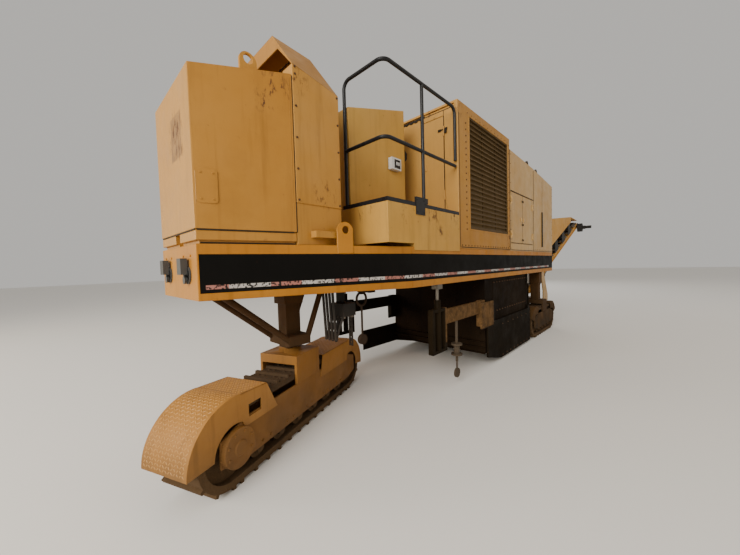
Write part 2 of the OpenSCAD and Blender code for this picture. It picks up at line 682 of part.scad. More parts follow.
module cutting_drum() color("dimgray") {
    w = house_half_w - house_t - 12;
    translate([sta(drum_s), 0, drum_z]) {
        cross_bar(2*drum_r, -w, w);
        cross_bar(2*shaft_r, -house_half_w, house_half_w);
    }
    // helical rows from both ends to the middle
    pitch = (w - 70)/tooth_n;
    for (side = [-1, 1], i = [0:tooth_n - 1])
        tooth(i*47 + (side > 0 ? 0 : 23.5), side*(55 + i*pitch), 18);
}

// Side plates
plate_y0 = house_half_w + 5 + run_gap;
plate_y1 = frame_half_w - 2;
plate_z0 = 40;
arm_z = 900;
lift_s = 2600;
module plate_body() {
    difference() {
        across(plate_y0, plate_y1)
            polygon([[sta(house_s0 + 15), plate_z0 + 130], [sta(house_s0 + 15), 720], [sta(house_s1 - 15), 720],
                [sta(house_s1 - 15), plate_z0], [sta(house_s0 + 560), plate_z0]]);
    }
}

plate_mid = (plate_y0 + plate_y1)/2;
lift_y = plate_mid - 50;
rear_lift_s = house_s1 - 110;
rear_lift_y = 936;
rod_fit = 0.05;
module plate_carrier() {
    // yellow block on the plate's front end, and its root on the arm
    block([house_s0 - 210, house_s0 + 290], [plate_y0 + 2, plate_y1], [650, 1060]);
    block([house_s0 - 210, house_s0 - 50], [plate_y0 - 60, plate_y0 + 10], [700, 1100]);
    // arm to the front lift cylinder
    block([lift_s + 100, house_s0 - 150], [plate_y0 - 60, plate_y1 - 40], [arm_z, arm_z + 190]);
    // cylinder's frame
    for (ds = [-170, 110])
        block([lift_s + ds, lift_s + ds + 60], [plate_y0 - 70, plate_y1 - 30], [560, 1120]);
    block([lift_s - 170, lift_s + 170], [plate_y0 - 70, plate_y1 - 30], [560, 600]);
    block([lift_s - 170, lift_s + 170], [plate_y0 - 70, plate_y1 - 30], [1080, 1120]);
    // rod of the rear lift cylinder, standing on the plate
    block([rear_lift_s - 50, rear_lift_s + 50], [plate_y0 + 2, plate_y1], [700, 790]);
    translate([sta(rear_lift_s), rear_lift_y, 760]) cylinder(h = 530, r = 14);
}

module left_side_plate() color("goldenrod") side_plate();
module right_side_plate() color("goldenrod") {
    mirror([0, 1, 0]) side_plate();
    // longer toe of the right plate
    block([house_s0 - 920, house_s0 + 60], [-plate_y1, -plate_y1 + 20], [plate_z0 + 130, plate_z0 + 480]);
}
module side_plate() {
    difference() {
        union() {
            plate_body();
            plate_carrier();
            translate([sta(lift_s), lift_y, 580]) cylinder(h = 650, d = 84);
        }
        translate([sta(lift_s), lift_y, 640]) cylinder(h = 550, r = 24);
        translate([sta(lift_s), lift_y, 640]) cylinder(h = 700, r = 20 + rod_fit);
    }
}

// Under the frame: the fixed rods of the front lift cylinders and the barrels of the rear ones
module plate_lift_gear() color("silver") both_sides() {
    translate([sta(lift_s), lift_y, 0]) {
        translate([0, 0, 860]) cylinder(h = frame_z0 - 40 - 860, r = 20);
        translate([-55, -45, frame_z0 - 60]) cube([110, 90, 60 - seat_gap]);
    }
    translate([sta(rear_lift_s), rear_lift_y, 0]) difference() {
        translate([0, 0, 1230]) cylinder(h = frame_z0 - seat_gap - 1230, r = 24);
        translate([0, 0, 1200]) cylinder(h = frame_z0 - 8 - 1200, r = 14 + rod_fit);
    }
}

// Discs, stem and small wheel of the grade sensor, hung from the left arm
module grade_sensor() color("silver") {
    translate([sta(lift_s + 480), lift_y, 0]) {
        translate([0, 0, 330]) cylinder(h = arm_z - 330 - seat_gap, d = 36);
        for (z = [420, 560]) translate([0, 0, z]) cylinder(h = 22, d = 150);
        translate([0, 0, 442]) cylinder(h = 118, d = 80);
        translate([0, 0, 170]) cylinder(h = 160, d = 24);
        translate([0, -14, 170]) rotate([-90, 0, 0]) cylinder(h = 28, d = 130);
    }
}

// Links under the frame, hydraulic lines
module hanging_links() color("gray") {
    translate([sta(1540), 600, 0]) {
        // ring and its bracket
        translate([0, 0, 1335]) rotate([90, 0, 0]) rotate_extrude() translate([70, 0]) circle(d = 26);
        translate([-20, -20, 1385]) cube([40, 40, frame_z0 - 1385 - seat_gap]);
        translate([-40, -20, frame_z0 - 20]) cube([80, 190, under(1580) - frame_z0 + 20 - seat_gap]);
        // rod and small wheel
        translate([0, 0, 930]) cylinder(h = 340, d = 22);
        translate([0, -20, 900]) rotate([-90, 0, 0]) cylinder(h = 40, d = 110);
    }
}

module hydraulic_lines() color("dimgray") {
    // valve block under the deck with lines looping down behind the nose leg
    block([1420, 1600], [220, 440], [1140, 1280]);
    block([1480, 1540], [250, 330], [1280, frame_z1 - deck_t - seat_gap]);
    for (y = [245, 300, 355, 410])
        translate([0, y, 0]) {
            strut([sta(1440), 1150], [sta(1330), 900], 30);
            translate([sta(1330), 0, 900]) sphere(d = 36);
            strut([sta(1330), 900], [sta(1300), frame_z0 - 2], 30);
        }
    // perforated bar
    difference() {
        block([1640, 1652], [270, 330], [760, 1280]);
        for (z = [800:60:1240])
            translate([sta(1640) - 15, 300, z]) rotate([0, 90, 0]) cylinder(h = 20, d = 22);
    }
    block([1600, 1640], [270, 330], [1200, 1240]);
}

// Nose leg and steered track
yoke_top = 800;
leg_w = 170;
// Space above the frame's rising underside
module above_underside()
    across(-300, 300)
        polygon([[sta(0), under(0) - seat_gap], [sta(taper_len), frame_z0 - seat_gap],
            [sta(taper_len), frame_z0 + 300], [sta(0), frame_z0 + 300]]);
module nose_leg() color("saddlebrown") {
    z0 = yoke_top + run_gap + 34;
    difference() {
        union() {
            translate([sta(nose_track_s) - leg_w/2, -leg_w/2, z0]) cube([leg_w, leg_w, under(0) - z0]);
            // collar with the ears of the braces
            translate([sta(nose_track_s) - 130, -200, z0 + 40]) cube([260, 400, 100]);
            // outer socket under the frame
            translate([sta(nose_track_s) - leg_w/2 - 25, -leg_w/2 - 25, frame_z0 - 120])
                cube([leg_w + 50, leg_w + 50, under(0) - frame_z0 + 120]);
        }
        translate([sta(nose_track_s), 0, z0 - 1]) cylinder(h = 160, r = 60.05);
        above_underside();
    }
    // braces to the nose and back to the frame
    difference() {
        for (y = [-170, 170])
            translate([0, y, 0]) {
                strut([sta(250), under(0) + 20], [sta(nose_track_s - 110), z0 + 100], 60);
                strut([sta(1350), under(0) + 20], [sta(nose_track_s + 110), z0 + 100], 60);
            }
        above_underside();
    }
}

// Everything on the steered track is drawn about the steering axis, straight ahead
module steered()
    translate([sta(nose_track_s), 0, 0]) rotate([0, 0, steer_rest]) children();

axle_z = track_r + grouser_h;
// Bridge over a loop: a top plate with a leg down to each side plate's upper edge
module bridge(w, len, z1) {
    z0 = axle_z + 190 + seat_gap;
    difference() {
        translate([-len/2, -w/2 - 30, z0]) cube([len, w + 60, z1 - z0]);
        translate([-len/2 - 1, -w/2 - seat_gap, z0 - 1]) cube([len + 2, w + 2*seat_gap, z1 - 90 - z0]);
    }
}

module nose_yoke() color("goldenrod") steered() {
    bridge(shoe_w, 420, yoke_top);
    translate([0, 0, yoke_top]) cylinder(h = 34, r = 120);
    translate([0, 0, yoke_top + 34]) cylinder(h = 150, r = 60);
}

// Outline of a crawler loop with its grousers; e is half the distance between the end wheels
module loop_outline(e, n) {
    module stadium(r) {
        for (x = [-e, e]) translate([x, 0]) circle(r, $fn = 40);
        translate([-e, -r]) square([2*e, 2*r]);
    }
    arc = 180;
    difference() {
        union() {
            stadium(track_r);
            for (i = [0:n - 1], side = [-1, 1])
                translate([-e + (i + 0.5)*2*e/n - 14, side > 0 ? track_r - 2 : -axle_z])
                    square([28, grouser_h + 2]);
            for (k = [0:6], x = [-e, e])
                translate([x, 0]) rotate(x > 0 ? -90 + k*30 : 90 + k*30)
                    translate([track_r - 2, -14]) square([grouser_h + 2, 28]);
        }
        stadium(track_r - chain_t);
    }
}

module crawler_loop(len, w)
    translate([0, 0, axle_z]) across(-w/2, w/2) loop_outline(len/2, round(len/shoe_pitch));

// Idler, sprocket and rollers inside a loop, with their axles
module crawler_wheels(len, w, rollers) {
    r = track_r - chain_t - seat_gap;
    for (x = [-len/2, len/2]) translate([x, 0, axle_z]) {
        cross_bar(2*r, -w/2 + 60, -w/2 + 130);
        cross_bar(2*r, w/2 - 130, w/2 - 60);
        cross_bar(150, -w/2, w/2);
    }
    rr = 85;
    for (i = [0:rollers - 1])
        translate([-len/2 + (i + 1)*len/(rollers + 1), 0, axle_z - r + rr]) {
            cross_bar(2*rr, -w/2 + 40, w/2 - 40);
            cross_bar(80, -w/2, w/2);
        }
}

// Side plates that hold the axles, joined over the top of the loop
module crawler_frame(len, w) {
    for (side = [-1, 1])
        across(side > 0 ? w/2 + seat_gap : -w/2 - frame_plate_t, side > 0 ? w/2 + frame_plate_t : -w/2 - seat_gap)
            polygon([[-len/2 - 130, axle_z - 90], [-len/2 + 60, 182], [len/2 - 60, 182],
                [len/2 + 130, axle_z - 90], [len/2 + 130, axle_z + 110], [len/2 - 120, axle_z + 190],
                [-len/2 + 120, axle_z + 190], [-len/2 - 130, axle_z + 110]]);
}

module nose_track_loop() color("dimgray") steered() crawler_loop(nose_track_len, shoe_w);
module nose_track_wheels() color("goldenrod") steered() crawler_wheels(nose_track_len, shoe_w, 6);

module nose_track_frame() color("goldenrod") steered() {
    crawler_frame(nose_track_len, shoe_w);
    // round-topped cover of the final drive on each side
    for (side = [-1, 1])
        translate([nose_track_len/2 - 20, side > 0 ? shoe_w/2 + frame_plate_t : -shoe_w/2 - frame_plate_t - 40,
            axle_z + 5]) {
            translate([0, 40, 0]) rotate([90, 0, 0]) cylinder(h = 40, r = 150);
            translate([-150, 0, -80]) cube([260, 40, 80]);
        }
}

// Fender: part of a ring over one end of the loop, closed at its sides
module fender(r, w, a0, a1, t) {
    module sector(rr)
        intersection() {
            circle(rr, $fn = 64);
            polygon([[0, 0], [2*rr*cos(a0), 2*rr*sin(a0)], [2.4*rr*cos((2*a0 + a1)/3), 2.4*rr*sin((2*a0 + a1)/3)],
                [2.4*rr*cos((a0 + 2*a1)/3), 2.4*rr*sin((a0 + 2*a1)/3)], [2*rr*cos(a1), 2*rr*sin(a1)]]);
        }
    across(-w/2, w/2) difference() {
        sector(r);
        circle(r - t, $fn = 64);
    }
    for (y = [-w/2, w/2 - t])
        across(y, y + t) difference() {
            sector(r);
            circle(track_r*0.62, $fn = 48);
            translate([-20, 5]) circle(156, $fn = 48);
        }
}

module nose_fenders() color("goldenrod") steered() {
    w = shoe_w + 2*(frame_plate_t + seat_gap + fender_t);
    translate([nose_track_len/2, 0, axle_z]) fender(track_r + fender_gap, w, 0, 118, fender_t);
    translate([-nose_track_len/2, 0, axle_z]) fender(track_r + 60, w, 62, 190, fender_t);
}

// Rear tracks
module rear_pair() for (y = [-rear_track_y, rear_track_y])
    translate([sta(rear_track_s), y, 0]) children();
rear_shoe_w = 340;

module left_track_loop() color("dimgray")
    translate([sta(rear_track_s), rear_track_y, 0]) crawler_loop(rear_track_len, rear_shoe_w);
module right_track_loop() color("dimgray")
    translate([sta(rear_track_s), -rear_track_y, 0]) crawler_loop(rear_track_len, rear_shoe_w);
module rear_track_wheels() color("goldenrod") rear_pair()
    crawler_wheels(rear_track_len, rear_shoe_w, 4);
module rear_track_frames() color("goldenrod") rear_pair() crawler_frame(rear_track_len, rear_shoe_w);
module rear_fenders() color("goldenrod") rear_pair() {
    w = rear_shoe_w + 2*(frame_plate_t + seat_gap + fender_t);
    translate([rear_track_len/2, 0, axle_z]) fender(track_r + 60, w, 20, 118, fender_t);
    translate([-rear_track_len/2, 0, axle_z]) fender(track_r + 60, w, 62, 160, fender_t);
}
module rear_legs() color("saddlebrown") rear_pair() {
    bridge(rear_shoe_w, 320, 780);
    translate([-leg_w/2, -leg_w/2, 780]) cube([leg_w, leg_w, frame_z0 - 780 - seat_gap]);
    translate([-leg_w/2 - 25, -leg_w/2 - 25, frame_z0 - 260]) cube([leg_w + 50, leg_w + 50, 260 - seat_gap]);
}

// Gathering conveyor
gather_s0 = mold_s + 110;
gather_s1 = swing_s - 330;
gather_z0 = 430;
gather_z1 = 1330;
gather_d = 90;
module gathering_conveyor() color("gray") {
    a = atan2(gather_z1 - gather_z0, gather_s1 - gather_s0);
    len = norm([gather_z1 - gather_z0, gather_s1 - gather_s0]);
    translate([sta(gather_s0), 0, gather_z0]) rotate([0, a, 0]) mirror([1, 0, 0]) {
        for (y = [-345, 325])
            translate([0, y, -gather_d/2 - 11]) cube([len, 20, gather_d + 22]);
        for (x = [0, len]) translate([x, 0, 0]) cross_bar(gather_d, -325, 325);
        for (z = [-gather_d/2 - 11, gather_d/2 - 1])
            translate([0, -300, z]) cube([len, 600, 12]);
    }
    // hangers to the frame
    for (y = [-365, 335])
        block([frame_len - 140, frame_len - 20], [y, y + 30], [1262, frame_z0 - seat_gap]);
}

// Rear hitch and swing base
hitch_y = 665;
module rear_hitch() color("goldenrod") {
    for (y = [-hitch_y - 25, hitch_y])
        across(y, y + 25)
            polygon([[sta(frame_len + seat_gap), frame_z0], [sta(frame_len + seat_gap), frame_z0 + 330],
                [sta(frame_len + 60), frame_z0 + 330], [sta(swing_s + 260), 760], [sta(swing_s + 260), base_z - 80],
                [sta(swing_s - 170), base_z - 80], [sta(swing_s - 170), 900]]);
    difference() {
        block([swing_s - 170, swing_s + 260], [-hitch_y, hitch_y], [base_z - 80, base_z - 50]);
        translate([sta(swing_s), 0, base_z - 90]) cylinder(h = 60, r = 45);
    }
}

module swing_base() color("goldenrod") {
    translate([sta(swing_s), 0, 0]) {
        translate([0, 0, base_z - 50 + run_gap]) cylinder(h = 41, r = 300);
        translate([0, 0, base_z - 110]) cylinder(h = 80, r = 44.5);
        for (side = [-1, 1]) difference() {
            translate([-100, side > 0 ? conv_half_w + 10 : -conv_half_w - 35, base_z - 10 + run_gap])
                cube([200, 25, lift_z + 70 - base_z]);
            translate([0, 0, lift_z]) cross_bar(61, -600, 600);
        }
        translate([-100, -conv_half_w - 35, base_z - 44 + run_gap]) cube([200, 2*conv_half_w + 70, 35]);
        translate([-230, -cyl_y - 50, base_z - 44 + run_gap]) cube([140, 2*cyl_y + 100, 35]);
        // ears and pins of the lift cylinders
        for (side = [-1, 1]) {
            translate([-230, side > 0 ? cyl_y + 26 : -cyl_y - 50, base_z - 10 + run_gap]) cube([110, 24, 110]);
            translate([-ear_x, 0, ear_z])
                cross_bar(40, side > 0 ? cyl_y - 20 : -cyl_y - 30, side > 0 ? cyl_y + 30 : -cyl_y + 20);
        }
    }
}

// Discharge conveyor, drawn along its own slope
// x runs from the lift pivot up to the head
module sloped()
    translate([sta(swing_s), 0, lift_z]) rotate([0, conv_slope, 0]) mirror([1, 0, 0]) children();

web_y = conv_half_w - 45;
bracket_h = 366;
idler_d = 60;
belt_t = 12;
pulley_d = 260;
pulley_z = 7;
idler_z = pulley_z + pulley_d/2 - idler_d/2;
tail_x = 100 - conv_tail;
head_x = conv_len - 150;
cover_z = chan_h/2 + bracket_h + 2*seat_gap;
module conveyor_frame() color("goldenrod") sloped() {
    // side channels: web with its flanges turned outwards
    for (side = [-1, 1]) {
        translate([-conv_tail, side > 0 ? web_y : -web_y - 8, -chan_h/2])
            cube([conv_tail + conv_len, 8, chan_h]);
        for (z = [-chan_h/2, chan_h/2 - 10])
            translate([-conv_tail, side > 0 ? web_y : -conv_half_w, z])
                cube([conv_tail + conv_len, 45, 10]);
        // pivot pin
        cross_bar(60, side > 0 ? web_y : -conv_half_w - 35, side > 0 ? conv_half_w + 35 : -web_y);
    }
    // cross members
    for (i = [0:6])
        translate([350 + i*960, -web_y, -chan_h/2]) cube([60, 2*web_y, 50]);
    // ears of the lift cylinders' eyes
    for (y = [-cyl_y - 36, -cyl_y + 16, cyl_y - 36, cyl_y + 16])
        translate([eye_local - 50, y, -chan_h/2 - eye_drop - 40]) cube([100, 20, eye_drop + 42]);
    translate([eye_local - 50, -web_y - 4, -chan_h/2 - 8]) cube([100, 2*web_y + 8, 10]);
    for (y = [-cyl_y, cyl_y])
        translate([eye_local, 0, -chan_h/2 - eye_drop]) cross_bar(30, y - 30, y + 30);
}

// Closed belt round both pulleys
module belt_run(r, w) hull() for (x = [tail_x, head_x]) translate([x, 0, pulley_z]) cross_bar(2*r, -w/2, w/2);
module conveyor_belt() color("dimgray") sloped() difference() {
    belt_run(pulley_d/2 + seat_gap + belt_t, belt_w);
    belt_run(pulley_d/2 + seat_gap, belt_w + 2);
}

module conveyor_rollers() color("gray") sloped() {
    for (x = [tail_x, head_x])
        translate([x, 0, pulley_z]) cross_bar(pulley_d, -web_y + seat_gap, web_y - seat_gap);
    // idlers on their feet
    foot = conv_half_w - bracket_t - seat_gap - web_y;
    for (i = [0:11])
        translate([idler_x0 + i*idler_pitch, 0, 0]) {
            translate([0, 0, idler_z]) cross_bar(idler_d, -web_y, web_y);
            for (y = [-web_y - foot, web_y])
                translate([-25, y, chan_h/2 + seat_gap]) cube([50, foot, 60]);
        }
}

// Plates on the channels that carry the cover, one pair at every second idler
idler_x0 = 0.0186*conv_len;
idler_pitch = conv_len/12.4;
bracket_t = 10;
module cover_brackets() color("dimgray") sloped()
    for (i = [1:2:9])
        translate([idler_x0 + i*idler_pitch, 0, 0])
            for (y = [-conv_half_w, conv_half_w - bracket_t])
                across(y, y + bracket_t)
                    polygon([[-250, chan_h/2 + seat_gap], [-150, chan_h/2 + bracket_h], [150, chan_h/2 + bracket_h],
                        [250, chan_h/2 + seat_gap]]);

// Hood over the belt, open below and at both ends, running out as a thin sheet towards the head
module conveyor_cover() color("goldenrod") sloped() {
    c0 = 0.2326*conv_len;
    c1 = 0.3969*conv_len;
    c2 = 0.8124*conv_len;
    c3 = 0.9828*conv_len;
    difference() {
        across(-conv_half_w, conv_half_w)
            polygon([[c0, cover_z], [c0, cover_z + 1012], [c1, cover_z + 776], [c2, cover_z + 180],
                [c3, cover_z - 231], [c3 - 12, cover_z - 241], [c2 - 60, cover_z + 176], [c2 - 60, cover_z]]);
        across(-conv_half_w + 8, conv_half_w - 8)
            polygon([[c0 - 1, cover_z - 1], [c0 - 1, cover_z + 1004], [c1, cover_z + 768], [c2 - 68, cover_z + 181],
                [c2 - 68, cover_z - 1]]);
    }
}

module conveyor_motor() color("dimgray") sloped() {
    // gearbox on its plate, motor and the fitting at its end
    translate([head_x - 100, conv_half_w + seat_gap, -chan_h/2]) cube([200, 14, chan_h + 20]);
    translate([head_x, conv_half_w + 10, -90]) rotate([-90, 0, 0]) cylinder(h = 160, d = 340);
    translate([head_x, conv_half_w + 160, -90]) rotate([-90, 0, 0]) cylinder(h = 115, d = 140);
    translate([head_x - 60, conv_half_w + 270, -135]) cube([120, 200, 90]);
    // head plate
    translate([conv_len + seat_gap, -conv_half_w, -chan_h/2]) cube([40, 2*conv_half_w, 60]);
}

// Lift cylinders of the conveyor
module along_cylinder(y)
    translate([sta(swing_s) - ear_x, y, ear_z]) rotate([0, cyl_a, 0]) mirror([1, 0, 0]) rotate([0, 90, 0]) children();

module lift_barrels() color("dimgray") for (y = [-cyl_y, cyl_y])
    along_cylinder(y) {
        difference() {
            translate([0, 0, 85]) cylinder(h = 1085, d = 90);
            translate([0, 0, 130]) cylinder(h = 1200, r = 31);
        }
        difference() {
            union() {
                cross_bar(70, -20, 20);
                translate([-35, -20, 0]) cube([70, 40, 90]);
            }
            cross_bar(40.1, -30, 30);
        }
    }

module lift_rods() color("silver") for (y = [-cyl_y, cyl_y])
    along_cylinder(y) {
        translate([0, 0, 800]) cylinder(h = cyl_len - 880, r = 30);
        difference() {
            union() {
                translate([-30, -15.7, cyl_len - 82]) cube([60, 31.4, 82]);
                translate([0, 0, cyl_len]) cross_bar(66, -15.7, 15.7);
            }
            translate([0, 0, cyl_len]) cross_bar(eye_bore, -20, 20);
        }
    }

main_frame();
nose_cabinet();
cooler_housing();
air_scoop();
operator_platform();
hand_rails();
platform_housing();
control_console();
radiator_housing();
louvre_grilles();
radiator_core();
front_door();
rear_hood();
left_door_front();
left_door_rear();
right_door_front();
right_door_rear();
engine_block();
lifting_lugs();
exhaust_stub();
work_lamps();
drum_housing();
moldboard();
cutting_drum();
left_side_plate();
right_side_plate();
plate_lift_gear();
grade_sensor();
hanging_links();
hydraulic_lines();
nose_leg();
nose_yoke();
nose_track_frame();
nose_track_wheels();
nose_track_loop();
nose_fenders();
rear_legs();
rear_track_frames();
rear_track_wheels();
left_track_loop();
right_track_loop();
rear_fenders();
gathering_conveyor();
rear_hitch();
swing_base();
conveyor_frame();
conveyor_belt();
conveyor_rollers();
cover_brackets();
conveyor_cover();
conveyor_motor();
lift_barrels();
lift_rods();
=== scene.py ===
import json
import math

import bmesh
import bpy
from mathutils import Matrix, Vector


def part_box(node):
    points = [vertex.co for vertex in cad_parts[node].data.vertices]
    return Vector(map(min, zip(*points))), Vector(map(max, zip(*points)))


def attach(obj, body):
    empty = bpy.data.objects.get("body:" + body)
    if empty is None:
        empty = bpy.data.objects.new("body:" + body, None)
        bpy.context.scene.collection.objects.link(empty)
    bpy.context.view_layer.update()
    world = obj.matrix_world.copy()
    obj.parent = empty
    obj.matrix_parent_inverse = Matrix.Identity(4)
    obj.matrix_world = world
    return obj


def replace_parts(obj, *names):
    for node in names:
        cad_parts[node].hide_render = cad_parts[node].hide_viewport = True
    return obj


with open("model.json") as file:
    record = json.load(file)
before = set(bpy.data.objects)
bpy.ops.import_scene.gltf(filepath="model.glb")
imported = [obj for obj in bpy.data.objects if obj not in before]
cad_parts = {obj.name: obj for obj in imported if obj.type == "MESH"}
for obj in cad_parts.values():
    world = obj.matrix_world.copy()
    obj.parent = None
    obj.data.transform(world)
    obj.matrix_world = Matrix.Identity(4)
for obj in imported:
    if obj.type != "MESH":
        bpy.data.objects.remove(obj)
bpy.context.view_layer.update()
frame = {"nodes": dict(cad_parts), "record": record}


# Camera
# Stands to the machine's left ahead of the nose, at head height, with the wide lens that the photograph's
# vanishing points give.
nose_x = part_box("nose_cabinet")[1][0]
camera_data = bpy.data.cameras.new("camera")
camera_data.lens = 14.58
camera_data.sensor_width = 36.0
camera_data.clip_end = 200.0
camera = bpy.data.objects.new("camera", camera_data)
bpy.context.collection.objects.link(camera)
yaw, pitch, roll = math.radians(224.0077), math.radians(2.3102), math.radians(1.6226)
forward = Vector((math.cos(yaw) * math.cos(pitch), math.sin(yaw) * math.cos(pitch), -math.sin(pitch)))
level = Vector((math.sin(yaw), -math.cos(yaw), 0.0))
down = forward.cross(level)
right = math.cos(roll) * level + math.sin(roll) * down
below = -math.sin(roll) * level + math.cos(roll) * down
camera.matrix_world = Matrix((
    (right.x, -below.x, -forward.x, nose_x + 0.690),
    (right.y, -below.y, -forward.y, 2.891),
    (right.z, -below.z, -forward.z, 1.690),
    (0.0, 0.0, 0.0, 1.0),
))
bpy.context.scene.camera = camera


# Floor and light
# A plain pale floor under a soft, even sky, with one broad lamp ahead of the nose, a low warm one ahead on the right,
# one high on the left and a weak one behind: the nose face is the brightest side, as in the photograph's evening.
floor_mesh = bpy.data.meshes.new("floor")
floor_bm = bmesh.new()
bmesh.ops.create_grid(floor_bm, x_segments=1, y_segments=1, size=60.0)
floor_bm.to_mesh(floor_mesh)
floor_bm.free()
floor = bpy.data.objects.new("floor", floor_mesh)
bpy.context.collection.objects.link(floor)
floor_paint = bpy.data.materials.new("floor_paint")
floor_paint.use_nodes = True
floor_paint.node_tree.nodes["Principled BSDF"].inputs["Base Color"].default_value = (0.80, 0.77, 0.72, 1.0)
floor_paint.node_tree.nodes["Principled BSDF"].inputs["Roughness"].default_value = 0.9
floor_mesh.materials.append(floor_paint)

sky = bpy.data.worlds.new("sky")
sky.use_nodes = True
sky.node_tree.nodes["Background"].inputs["Color"].default_value = (1.0, 0.97, 0.92, 1.0)
sky.node_tree.nodes["Background"].inputs["Strength"].default_value = 0.55
bpy.context.scene.world = sky


def soft_lamp(name, place, target, size, power, colour):
    """A broad disc of light at a place, looking at a target."""
    data = bpy.data.lights.new(name, "AREA")
    data.shape = "DISK"
    data.size = size
    data.energy = power
    data.color = colour
    lamp = bpy.data.objects.new(name, data)
    look = (Vector(target) - Vector(place)).to_track_quat("-Z", "Y").to_matrix().to_4x4()
    lamp.matrix_world = Matrix.Translation(place) @ look
    bpy.context.collection.objects.link(lamp)


soft_lamp("front_lamp", (18.0, 4.5, 8.0), (4.0, 0.0, 1.8), 9.0, 2450.0, (1.0, 0.98, 0.93))
soft_lamp("evening_lamp", (17.0, -8.0, 3.2), (4.5, 0.0, 2.6), 4.0, 800.0, (1.0, 0.86, 0.66))
soft_lamp("side_lamp", (-3.0, 15.0, 9.0), (0.0, 0.0, 1.5), 9.0, 420.0, (1.0, 0.86, 0.66))
soft_lamp("back_lamp", (-15.0, -9.0, 8.0), (-3.0, 0.0, 1.5), 8.0, 700.0, (0.95, 0.97, 1.0))


# Main frame
# A deep box beam of welded plate, pinched in to the nose, in the maker's yellow. A black vinyl stripe runs the
# length of both sides with worn reflective tape along its foot, and weld beads show where the sides are joined.
def step(kind, sockets, **settings):
    """Adds a shader node where its inputs come from; sockets gives an output to link or a constant for each."""
    tree = next(value for value in sockets.values() if isinstance(value, bpy.types.NodeSocket)).id_data
    made = tree.nodes.new("ShaderNode" + kind)
    for name, value in settings.items():
        setattr(made, name, value)
    for socket, value in sockets.items():
        if isinstance(value, bpy.types.NodeSocket):
            tree.links.new(value, made.inputs[socket])
        else:
            made.inputs[socket].default_value = value
    return made


def noise(vector, scale, detail=4.0, roughness=0.55):
    return step("TexNoise", {"Scale": scale, "Detail": detail, "Roughness": roughness, "Vector": vector}).outputs["Fac"]


def ramp(value, low, high, to_low=0.0, to_high=1.0):
    return step("MapRange", {"From Min": low, "From Max": high, "To Min": to_low, "To Max": to_high, "Value": value},
                clamp=True).outputs["Result"]


def joined(operation, a, b):
    return step("Math", {0: a, 1: b}, operation=operation).outputs["Value"]


def mixed(amount, *colours):
    below, above = (colour + (1.0,) if isinstance(colour, tuple) else colour for colour in colours)
    return step("Mix", {"Factor": amount, 6: below, 7: above}, data_type="RGBA").outputs[2]


def relief(material, height, strength):
    """Raises a material's surface by a pattern."""
    bump = step("Bump", {"Strength": strength, "Distance": 0.01, "Height": height})
    material.node_tree.links.new(bump.outputs["Normal"], material.node_tree.nodes["Principled BSDF"].inputs["Normal"])


